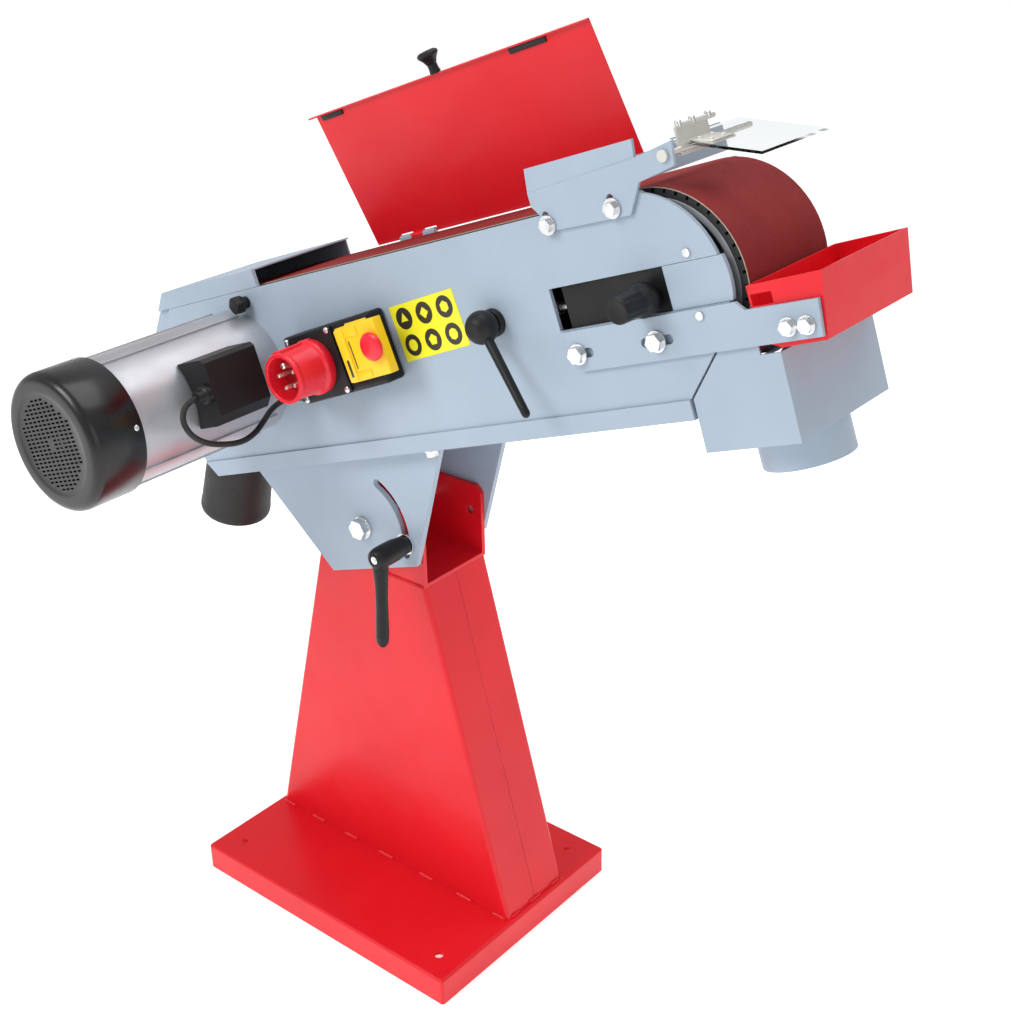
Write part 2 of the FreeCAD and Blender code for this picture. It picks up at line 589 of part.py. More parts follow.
def make_tracking_knob():
    """Knurled knob in the window that steers the belt by tilting the axle a little."""
    u, w = TRACKING_KNOB
    y0 = -HEAD_HALF + PLATE_T + 0.1
    knob = revolve_y([(0, -145), (11, -145), (14, -142), (14, -112), (16, -108), (18, -104),
                      (18, -95), (15, -92), (6, -92), (6, y0), (0, y0)], u, w)
    for k in range(12):
        angle = math.radians(30 * k)
        knob = knob.cut(rod_y(u + 15 * math.cos(angle), w + 15 * math.sin(angle), 2.2, -150, -110))
    save_on_head("tracking_knob", knob)


# ---------------------------------------------------------------- guards and dust outlets
def hollow_box(points, y_half, t):
    """Folded sheet box with the profile's outline, y_half each side, and walls of thickness t."""
    outer = plate(points, -y_half, y_half)
    wire = outline(points, -y_half + t)
    inner = wire.makeOffset2D(-t, 2)
    return outer.cut(Part.Face(inner).extrude(Vector(0, 2 * (y_half - t), 0)))


def make_rear_hood():
    """Sheet hood around the drive wheel, open towards the front over the belt."""
    y = HEAD_HALF - PLATE_T - 0.3
    points = [(-30, 355), (-229, 355), (-283, 301), (-297, 152), (-217, FLOOR_W + FLOOR_T + 1),
              (-30, FLOOR_W + FLOOR_T + 1)]
    hood = hollow_box(points, y, 2.0)
    hood = hood.cut(box(-35, 10, -y - 1, y + 1, FLOOR_W + FLOOR_T, 353.0))
    hood = hood.cut(box(-215, -20, -y - 1, y + 1, 0, FLOOR_W + FLOOR_T + 4))
    hood = hood.cut(rod_y(DRIVE_U, AXLE_W, 46, -y - 1, 0))
    skirt = plate([(-30, PLATE_TOP_W + 0.3), (-30, 355), (-229, 355), (-250, PLATE_TOP_W + 0.3)],
                  -HEAD_HALF, -y)
    hood = hood.fuse(skirt)
    a = math.radians(SPIGOT_LEAN)
    centre = Vector(-259, REAR_SPIGOT_Y, 121)
    axis = Vector(-math.sin(a), 0, -math.cos(a))
    hood = hood.cut(Part.makeCylinder(40, 40, centre - axis * 20, axis))
    hood = hood.cut(rod_y(HOOD_KNOB[0], HOOD_KNOB[1], 4.0, -HEAD_HALF, 0))
    save_on_head("rear_hood", hood)


def make_rear_spigot():
    """Black rubber sleeve for a 100 mm hose on the rear hood's sloping face."""
    a = math.radians(SPIGOT_LEAN)
    axis = Vector(-math.sin(a), 0, -math.cos(a))
    start = Vector(-259, REAR_SPIGOT_Y, 121) + axis * 2.2
    length = 108.0
    sleeve = Part.makeCone(46, SPIGOT_R, length, start, axis)
    sleeve = sleeve.cut(Part.makeCone(41, SPIGOT_R - 4, length + 2, start - axis, axis))
    save_on_head("rear_spigot", sleeve)


def make_dust_hood():
    """Front dust hood below the contact wheel, open at the top, with a grey 100 mm outlet."""
    points = [(585, 59.5), (700, 59.5), (702, 152), (678.5, 152), (678.5, 166), (635, 166), (586.5, 117)]
    outer = plate(points, -HEAD_HALF, HEAD_HALF)
    inner = plate([(587, 61.5), (698, 61.5), (700, 170), (630, 170), (588.5, 117)],
                  -HEAD_HALF + 2, HEAD_HALF - 2)
    hood = outer.cut(inner)
    hood = hood.cut(rod_w(DUST_SPIGOT_U, 0, SPIGOT_R - 2, 50, 70))
    hood = hood.cut(box(580, 592, -HEAD_HALF + 8, HEAD_HALF - 8, FLOOR_W + FLOOR_T, 130))
    save_on_head("dust_hood", hood)
    pipe = rod_w(DUST_SPIGOT_U, 0, SPIGOT_R, 20, 59.5).cut(rod_w(DUST_SPIGOT_U, 0, SPIGOT_R - 2, 19, 60))
    save_on_head("dust_spigot", pipe)


def make_hood_knob():
    """Star knob that holds the rear hood to the main plate."""
    u, w = HOOD_KNOB
    knob = revolve_y([(0, -HEAD_HALF - 22), (10, -HEAD_HALF - 22), (12, -HEAD_HALF - 19),
                      (12, -HEAD_HALF - 10), (8, -HEAD_HALF - 6), (8, -HEAD_HALF - 0.4),
                      (3.9, -HEAD_HALF - 0.4), (3.9, -HEAD_HALF + 10), (0, -HEAD_HALF + 10)], u, w)
    for k in range(6):
        angle = math.radians(60 * k)
        knob = knob.cut(rod_y(u + 14 * math.cos(angle), w + 14 * math.sin(angle), 4, -HEAD_HALF - 23, -HEAD_HALF - 9))
    save_on_head("hood_knob", knob)


def make_upper_bracket():
    """Adjustable bracket over the belt: a side plate, a leaning lip, an arm and a cross plate."""
    y1 = -HEAD_HALF - 0.4
    y0 = y1 - BRACKET_PLATE_T
    side = plate([(451, 358), (451, 343), (475, 314), (574, 311), (594, 340), (640, 347), (644, 371),
                  (595, 364)], y0, y1)
    lip = Part.Face(Part.makePolygon([Vector(451, y0, 357), Vector(451, y1, 357), Vector(451, y1 + 4.5, 382),
                                      Vector(451, y1 + 0.9, 382), Vector(451, y0, 357)]))
    lip = lip.extrude(Vector(144, 0, 0))
    cross = box(596, 600, y1 - 1, 60, 341, 366)
    bracket = side.fuse([lip, cross])
    for u, w in SHIELD_BOLTS:
        bracket = bracket.cut(slot_y(u, w - 6.5, u, w + 10, 4.4, y0 - 1, y1 + 1))
    bracket = bracket.cut(rod_y(SHIELD_PIVOT[0], SHIELD_PIVOT[1], 3.3, y0 - 1, y1 + 1))
    save_on_head("upper_bracket", bracket)


def make_spark_shield():
    """Clear shield on a cross pin, sloping down over the front of the belt."""
    u, w = SHIELD_PIVOT
    slope = math.atan2(337.5 - (w + 6), 713 - u)
    length = math.hypot(713 - u, 337.5 - w - 6)
    sheet = Part.makeBox(length + 20, 128, 3, Vector(-20, -53, -3))
    sheet.rotate(Vector(0, 0, 0), Vector(0, 1, 0), -math.degrees(slope))
    sheet.translate(Vector(u, 0, w + 6))
    save_on_head("spark_shield", sheet)
    pin = rod_y(u, w, 3.2, -HEAD_HALF - 8, 62)
    head = rod_y(u, w, 6.0, -HEAD_HALF - 8.5, -HEAD_HALF - 4.8)
    leaf = Part.makeBox(30, 40, 1.6, Vector(0, -50, 0))
    leaf.rotate(Vector(0, 0, 0), Vector(0, 1, 0), -math.degrees(slope))
    leaf.translate(Vector(u, 0, w + 6))
    lug = box(u - 3, u + 3, -66, -10, w, w + 6.8)
    upright = box(u - 1.2, u + 1.2, -66, -10, w - 6, w + 22)
    rail = rod_y(u, w + 22, 2.6, -62, 4)
    save_on_head("shield_hinge", pin.fuse([head, leaf, lug, upright, rail]).cut(sheet))


def make_rest_arm():
    """Arm below the slot that carries the spark tray; its slots let it slide along the head."""
    y1 = -HEAD_HALF - 0.4
    y0 = y1 - ARM_T
    top = AXLE_W - SLOT_HALF - 1
    arm = plate([(442, top), (447, 184), (457, 163), (755, 161.5), (759, 198), (677, 198.5),
                 (668, top)], y0, y1)
    for u, w in REST_BOLTS:
        arm = arm.cut(slot_y(u - 15.5, w, u + 15, w, 5.2, y0 - 1, y1 + 1))
    for u, w in TRAY_BOLTS:
        arm = arm.cut(rod_y(u, w, 4.2, y0 - 1, y1 + 1))
    save_on_head("rest_arm", arm)
    screw = rod_y(625, 200.6, 4.5, y0 - 2.2, y0)
    save_on_head("tray_bolts", screw, *[hex_bolt(u, w, y0, 8, 4.6, 9.5) for u, w in TRAY_BOLTS])


def make_spark_tray():
    """Open red tray in front of the contact wheel whose rear lip is the work rest."""
    near, far, t = -HEAD_HALF, 82.0, 2.5
    rear_u, lip_w = 681.5, 220.5
    side = [(rear_u, lip_w), (767, 222.5), (756, 157), (705, 156), (rear_u, 166)]
    outer = plate(side, near, far)
    inner = plate([(rear_u + t, 240), (767 - t + 3, 240), (756 - t, 157 + t), (705, 156 + t),
                   (rear_u + t, 166 + t)], near + t, far - t)
    tray = outer.cut(inner)
    tray = tray.cut(box(684, 708, near - 1, near + t + 1, 199.5, 211.5))
    u, w = TRAY_BOLTS[0]
    tray = tray.cut(rod_y(u, w, 4.2, near - 1, near + t + 1))
    u, w = TRAY_BOLTS[1]
    tray = tray.cut(slot_y(u, w - 0.5, u, w + 3.5, 4.4, near - 1, near + t + 1))
    save_on_head("spark_tray", tray)


# ---------------------------------------------------------------- motor
def make_motor():
    """Flange motor: end shields, aluminium body with a few ridges, stator, fan cover, fan and shaft."""
    u, w = DRIVE_U, AXLE_W
    plate_y = -HEAD_HALF
    shield = tube_y(u, w, 80, 20, plate_y - 14, plate_y).cut(rod_y(u, w, 62, plate_y - 15, plate_y - 10))
    front = plate_y - 14.2
    body = rod_y(u, w, MOTOR_R - 1.5, MOTOR_BACK_Y, front)
    ribs = []
    for angle in (62, 98, 134, 170, 206, 242, 274, 310):
        rib = box(MOTOR_R - 4, MOTOR_R + 1, MOTOR_BACK_Y, front, -2.2, 2.2)
        rib.rotate(Vector(0, 0, 0), Vector(0, 1, 0), -angle)
        rib.translate(Vector(u, 0, w))
        ribs.append(rib)
    body = body.fuse(ribs).cut(rod_y(u, w, 66, MOTOR_BACK_Y - 1, front + 1))
    save_on_head("motor_body", body)

    back = MOTOR_BACK_Y - 0.3
    cover = revolve_y([(FAN_COVER_R, back), (FAN_COVER_R, FAN_COVER_Y + 16), (FAN_COVER_R - 4, FAN_COVER_Y + 6),
                       (FAN_COVER_R - 12, FAN_COVER_Y), (0, FAN_COVER_Y), (0, FAN_COVER_Y + 2),
                       (FAN_COVER_R - 13, FAN_COVER_Y + 2), (FAN_COVER_R - 6, FAN_COVER_Y + 7.5),
                       (FAN_COVER_R - 2, FAN_COVER_Y + 17), (FAN_COVER_R - 2, back)], u, w)
    holes = []
    for ring, count in ((20, 12), (30, 18), (40, 24), (50, 30)):
        for k in range(count):
            angle = math.radians(360.0 / count * k)
            holes.append(rod_y(u + ring * math.cos(angle), w + ring * math.sin(angle), 2.6,
                               FAN_COVER_Y - 1, FAN_COVER_Y + 3))
    cover = cover.cut(Part.makeCompound(holes))
    save_on_head("fan_cover", cover)

    rear_shield = tube_y(u, w, MOTOR_R - 3, 17.5, MOTOR_BACK_Y - 8, MOTOR_BACK_Y)
    save_on_head("motor_end_shields", shield, rear_shield)
    save_on_head("motor_stator", tube_y(u, w, 66, 37, -285, -140))

    fan = tube_y(u, w, 18, 8.05, FAN_COVER_Y + 18, FAN_COVER_Y + 40)
    for k in range(7):
        blade = box(15, 68, FAN_COVER_Y + 12, FAN_COVER_Y + 36, -1.2, 1.2)
        blade.rotate(Vector(0, 0, 0), Vector(0, 1, 0), 360.0 / 7 * k)
        blade.translate(Vector(u, 0, w))
        fan = fan.fuse(blade)
    save_on_head("motor_fan", fan)

    shaft = revolve_y([(0, FAN_COVER_Y + 14), (8, FAN_COVER_Y + 14), (8, MOTOR_BACK_Y - 9),
                       (15, MOTOR_BACK_Y - 9), (15, -290), (36, -290), (36, -135), (17, -135), (17, -90),
                       (14, -90), (14, 44), (0, 44)], u, w)
    save_on_head("motor_shaft", shaft.fuse(hexagon_y(u, w, 34, 44, 54)))


def make_terminal_box():
    """Black terminal box on the motor's front side, with its gland towards the fan end."""
    lid = plate([(-42, 193), (-42, 275), (10, 275), (15, 270), (15, 205), (3, 193)], -236, -156)
    lid = lid.cut(rod_y(DRIVE_U, AXLE_W, MOTOR_R + 0.3, -260, -150))
    edges = [e for e in lid.Edges if e.Length > 70]
    lid = lid.makeFillet(2.0, edges[:2])
    save_on_head("terminal_box", lid)


def make_glands():
    """Two cable glands: one on the terminal box, one on the switch box."""
    bore = CABLE_R + 0.1
    u, y, w = MOTOR_GLAND
    motor = revolve_y([(5.0, y), (11, y), (11, y - 7), (8.5, y - 9), (7.5, y - 18), (bore, y - 18),
                       (bore, y - 2), (5.0, y - 2)], u, w)
    nut = tube_y(u, w, 12, 5, y - 5, y)
    u2, y2, w2 = BOX_GLAND
    switch = rod_u(y2, w2, 11, u2 - 12, u2 - 2).fuse(rod_u(y2, w2, 8.5, u2 - 26, u2 - 12))
    switch = switch.cut(rod_u(y2, w2, bore, u2 - 27, u2))
    save_on_head("cable_glands", motor.fuse(nut), switch)


def unit(v):
    return v * (1.0 / v.Length)


def make_cable():
    """Cable from the terminal box to the switch box: straight runs joined by tangent arcs."""
    pts = [Vector(*p) for p in CABLE_POINTS]
    edges = []
    here = pts[0]
    radii = []
    for before, corner, after in zip(pts, pts[1:], pts[2:]):
        a, b = before - corner, after - corner
        turn = math.pi - a.getAngle(b)
        run = 0.45 * min(a.Length, b.Length)
        radii.append(run / math.tan(turn / 2))
        start, end = corner + unit(a) * run, corner + unit(b) * run
        bisector = unit(unit(a) + unit(b))
        depth = radii[-1] / math.cos(turn / 2) - radii[-1]
        edges.append(Part.LineSegment(here, start).toShape())
        edges.append(Part.Arc(start, corner + bisector * depth, end).toShape())
        here = end
    edges.append(Part.LineSegment(here, pts[-1]).toShape())
    path = Part.Wire(edges)
    ring = Part.Wire(Part.makeCircle(CABLE_R, pts[0], pts[1] - pts[0]))
    tube = path.makePipeShell([ring], True, False)
    section = math.pi * CABLE_R ** 2
    print("cable length %.1f mm, volume ratio %.4f, radii %s"
          % (path.Length, tube.Volume / (section * path.Length), [round(r, 1) for r in radii]))
    save_on_head("motor_cable", tube)


# ---------------------------------------------------------------- switch
def save_on_switch(name, *shapes):
    """Write a node drawn about the switch box's centre, which sits a little turned on the plate."""
    whole = shapes[0] if len(shapes) == 1 else Part.makeCompound(list(shapes))
    whole = whole.copy()
    turn = FreeCAD.Placement(Vector(SWITCH_CENTRE[0], 0, SWITCH_CENTRE[1]),
                             FreeCAD.Rotation(Vector(0, 1, 0), -SWITCH_TURN))
    whole.Placement = turn.multiply(whole.Placement)
    save_on_head(name, whole)


def make_switch():
    """Switch box with a five-pin inlet, a hinged yellow flap and its buttons."""
    front = SWITCH_FRONT_Y
    half = SWITCH_HALF_HEIGHT
    case = box(-72.5, 88, front, -HEAD_HALF, -half, half)
    case = case.makeFillet(8.0, [e for e in case.Edges if abs(e.Vertexes[0].Y - e.Vertexes[1].Y) > 20])
    case = case.cut(box(50, 85, front - 1, front + 20, -26, 24))
    save_on_switch("switch_box", case)

    iu, iw = -21.0, 0.0
    flange = box(iu - 45, iu + 45, front - 4, front, iw - 42, iw + 42)
    flange = flange.makeFillet(8.0, [e for e in flange.Edges if abs(e.Vertexes[0].Y - e.Vertexes[1].Y) > 3])
    barrel = revolve_y([(0, front - 3), (34, front - 3), (34, front - 16), (31, front - 19), (30.5, front - 60),
                        (26.0, front - 60), (26.0, front - 16), (0, front - 16)], iu, iw)
    key = box(iu - 5, iu + 5, front - 54, front - 14, iw + 27, iw + 35)
    save_on_switch("power_inlet", flange.fuse([barrel, key]))
    pins = []
    for k in range(5):
        angle = math.radians(90 + 72 * k)
        r = 3.8 if k == 0 else 2.8
        pins.append(rod_y(iu + 14.5 * math.cos(angle), iw + 14.5 * math.sin(angle), r, front - 54, front - 16.0))
    save_on_switch("inlet_pins", *pins)

    flap_back, flap_front = front - 1.0, front - 15.0
    flap = box(44, 114, flap_front, flap_back, -31, FLAP_HINGE_Z)
    flap = flap.cut(box(47, 112.5, flap_front + 3, flap_back + 1, -28, 31))
    flap = flap.makeFillet(3.0, [e for e in flap.Edges if abs(e.Vertexes[0].Y - e.Vertexes[1].Y) > 12
                                 and e.BoundBox.XMin > 113])
    flap = flap.fuse(rod_u(front - 2.6, FLAP_HINGE_Z, 2.2, 52, 90))
    flap = flap.cut(rod_y(MUSHROOM[0], MUSHROOM[1], 8.3, flap_front - 2, flap_front + 8))
    save_on_switch("switch_flap", flap)
    bezel = revolve_y([(0, flap_front - 11), (13, flap_front - 11), (17, flap_front - 8.5), (17, flap_front - 4.4),
                       (15, flap_front - 3.4), (8, flap_front - 3.4), (8, flap_front + 8), (0, flap_front + 8)],
                      *MUSHROOM)
    save_on_switch("stop_mushroom", bezel)
    save_on_switch("start_button", rod_y(59, -1, 7.2, front - 3, front + 14))
    save_on_switch("stop_button", rod_y(76, -1, 7.2, front - 3, front + 14))


def make_safety_label():
    """Thin blank label plate beside the switch, a little turned like the switch box."""
    label = box(-54, 54, -HEAD_HALF - 0.5, -HEAD_HALF, -33.5, 33.5)
    turn = FreeCAD.Placement(Vector(248, 0, 242), FreeCAD.Rotation(Vector(0, 1, 0), -SWITCH_TURN))
    label.Placement = turn
    save_on_head("safety_label", label)


make_base()
make_column()
make_yoke()
make_pivot_bolt()
make_clamp()
make_main_plate()
make_floor()
make_tilt_brackets()
make_head_bolts()
make_belt_door()
make_door_hinges()
make_top_cover()
make_belt()
make_platen()
make_drive_wheel()
make_contact_wheel()
make_carriage()
make_guide_strips()
make_tension()
make_tracking_knob()
make_rear_hood()
make_rear_spigot()
make_dust_hood()
make_hood_knob()
make_upper_bracket()
make_spark_shield()
make_rest_arm()
make_spark_tray()
make_motor()
make_terminal_box()
make_glands()
make_cable()
make_switch()
make_safety_label()
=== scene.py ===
"""Looks for the pedestal belt grinder: materials for the CAD nodes, finer pieces, floor and light."""
import math

import bmesh
import bpy
from mathutils import Matrix, Vector


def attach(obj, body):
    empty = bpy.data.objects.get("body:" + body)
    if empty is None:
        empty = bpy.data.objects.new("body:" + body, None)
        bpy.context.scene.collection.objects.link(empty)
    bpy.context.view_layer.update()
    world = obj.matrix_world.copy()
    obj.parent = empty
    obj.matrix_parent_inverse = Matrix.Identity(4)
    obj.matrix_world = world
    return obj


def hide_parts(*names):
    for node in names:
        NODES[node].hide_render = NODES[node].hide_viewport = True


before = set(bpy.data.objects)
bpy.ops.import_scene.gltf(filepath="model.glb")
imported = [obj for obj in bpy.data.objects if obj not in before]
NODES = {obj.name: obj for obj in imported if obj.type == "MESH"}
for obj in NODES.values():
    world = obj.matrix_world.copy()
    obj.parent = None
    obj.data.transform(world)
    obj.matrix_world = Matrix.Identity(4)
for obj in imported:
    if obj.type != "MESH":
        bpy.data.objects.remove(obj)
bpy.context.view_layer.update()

# ---------------------------------------------------------------- frames; pieces are drawn in millimetres
MM = Matrix.Scale(0.001, 4)
STAND_Y, PIVOT_Z = 0.028, 0.58              # metres: the machine's middle plane and the head's pivot
HEAD_TILT, PANEL_TILT, COVER_OPEN = math.radians(20.0), math.radians(-3.6), math.radians(-78)
HEAD_HALF = 88.7                            # middle plane to the main plate's outer face
DRIVE_U, AXLE_U, AXLE_W = -106.956, 577.0, 232.0
LEVER_U = 350.0
TRACKING_CENTRE, HOOD_KNOB_CENTRE = (566.0, 227.0), (-59.5, 317.0)
SWITCH_FRONT, FLAP_FRONT = -119.0, -134.0   # y of the switch box's front and of the flap's face
INLET_U = -21.0
COVER_HINGE = (HEAD_HALF + 4.4, 335.0)
STAND = Matrix.Translation((0, STAND_Y, 0)) @ MM
HEAD = Matrix.Translation((0, STAND_Y, PIVOT_Z)) @ Matrix.Rotation(-HEAD_TILT, 4, "Y") @ MM
SWITCH = HEAD @ Matrix.Translation((97, 0, 227)) @ Matrix.Rotation(PANEL_TILT, 4, "Y")
LABEL = HEAD @ Matrix.Translation((248, -HEAD_HALF, 242)) @ Matrix.Rotation(PANEL_TILT, 4, "Y")
COVER = (HEAD @ Matrix.Translation((0, *COVER_HINGE)) @ Matrix.Rotation(COVER_OPEN, 4, "X")
         @ Matrix.Translation((0, -COVER_HINGE[0], -COVER_HINGE[1])))


# ---------------------------------------------------------------- materials
def new_material(name):
    """A material with its node list, link list and main shader."""
    material = bpy.data.materials.new(name)
    material.use_nodes = True
    tree = material.node_tree
    return material, tree.nodes, tree.links, tree.nodes["Principled BSDF"]


def noise(nodes, links, coordinates, scale, detail=3.0, stretch=(1, 1, 1), rough=0.55):
    """Cloud noise over object coordinates, stretched along its axes."""
    mapping = nodes.new("ShaderNodeMapping")
    mapping.inputs["Scale"].default_value = stretch
    links.new(coordinates, mapping.inputs["Vector"])
    texture = nodes.new("ShaderNodeTexNoise")
    texture.inputs["Scale"].default_value = scale
    texture.inputs["Detail"].default_value = detail
    texture.inputs["Roughness"].default_value = rough
    links.new(mapping.outputs["Vector"], texture.inputs["Vector"])
    return texture.outputs["Fac"]


def span(nodes, links, value, low, high, to_low, to_high):
    """Map a value from one range to another."""
    node = nodes.new("ShaderNodeMapRange")
    node.inputs["From Min"].default_value = low
    node.inputs["From Max"].default_value = high
    node.inputs["To Min"].default_value = to_low
    node.inputs["To Max"].default_value = to_high
    links.new(value, node.inputs["Value"])
    return node.outputs["Result"]


def mix(nodes, links, factor, a, b):
    """Blend two colours; each is a tuple or a socket."""
    node = nodes.new("ShaderNodeMix")
    node.data_type = "RGBA"
    links.new(factor, node.inputs["Factor"])
    for socket, value in ((node.inputs[6], a), (node.inputs[7], b)):
        if isinstance(value, tuple):
            socket.default_value = (*value, 1.0)
        else:
            links.new(value, socket)
    return node.outputs[2]


EDGE_SAMPLES = 4


def edge_normal(nodes, radius):
    """A normal that is rounded over edges to a radius in metres."""
    bevel = nodes.new("ShaderNodeBevel")
    bevel.samples = EDGE_SAMPLES
    bevel.inputs["Radius"].default_value = radius
    return bevel.outputs["Normal"]


def sheen_and_wear_on_corners(nodes, links, coordinates, radius, amount):
    """How much lighter colour a point gets, partly painted highlight and partly wear: high on corners,
    broken up by noise.
    """
    geometry = nodes.new("ShaderNodeNewGeometry")
    dot = nodes.new("ShaderNodeVectorMath")
    dot.operation = "DOT_PRODUCT"
    links.new(edge_normal(nodes, radius), dot.inputs[0])
    links.new(geometry.outputs["Normal"], dot.inputs[1])
    broken = nodes.new("ShaderNodeMath")
    broken.operation = "MULTIPLY"
    links.new(span(nodes, links, dot.outputs["Value"], 0.94, 0.80, 0, amount), broken.inputs[0])
    patches = noise(nodes, links, coordinates, 60, 5.0)
    links.new(span(nodes, links, patches, 0.42, 0.6, 0, 1), broken.inputs[1])
    return broken.outputs["Value"]


def finish(name, colour, rough, metallic=0.0, coat=0.0,
           grain=900.0, grain_depth=0.00006, grain_stretch=(1, 1, 1),
           blotch=0.10, blotch_scale=7.0, corner_sheen_and_wear=None, corner_sheen_and_wear_amount=0.5,
           edge=0.0009, speckle=None, spec=0.5):
    """A surface with colour and roughness variation, fine bump, soft edges and corners mixed towards a
    lighter colour, partly as painted highlight and partly as wear.
    """
    material, nodes, links, shader = new_material(name)
    shader.inputs["Metallic"].default_value = metallic
    shader.inputs["Coat Weight"].default_value = coat
    shader.inputs["Coat Roughness"].default_value = 0.12
    shader.inputs["Specular IOR Level"].default_value = spec
    coordinates = nodes.new("ShaderNodeTexCoord").outputs["Object"]
    cloud = noise(nodes, links, coordinates, blotch_scale, 4.0)
    fine = noise(nodes, links, coordinates, grain, 3.0, grain_stretch)
    light = tuple(min(1.0, c * (1 + blotch)) for c in colour)
    dark = tuple(c * (1 - blotch) for c in colour)
    tone = mix(nodes, links, span(nodes, links, cloud, 0.3, 0.7, 0, 1), dark, light)
    if speckle:
        tone = mix(nodes, links, span(nodes, links, fine, 0.52, 0.66, 0, 1), tone, speckle)
    # painted highlight and wear: corners are mixed towards a lighter copy of the colour
    if corner_sheen_and_wear:
        sheen_and_worn = sheen_and_wear_on_corners(nodes, links, coordinates, edge * 1.6, corner_sheen_and_wear_amount)
        tone = mix(nodes, links, sheen_and_worn, tone, corner_sheen_and_wear)
    links.new(tone, shader.inputs["Base Color"])
    smear = noise(nodes, links, coordinates, 23, 5.0)
    smooth = max(0.02, rough - 0.07)
    links.new(span(nodes, links, smear, 0.3, 0.7, smooth, rough + 0.09), shader.inputs["Roughness"])
    bump = nodes.new("ShaderNodeBump")
    bump.inputs["Strength"].default_value = 1.0
    bump.inputs["Distance"].default_value = grain_depth
    links.new(fine, bump.inputs["Height"])
    links.new(edge_normal(nodes, edge), bump.inputs["Normal"])
    links.new(bump.outputs["Normal"], shader.inputs["Normal"])
    return material


RED = (0.76, 0.007, 0.016)
GREY = (0.36, 0.44, 0.53)
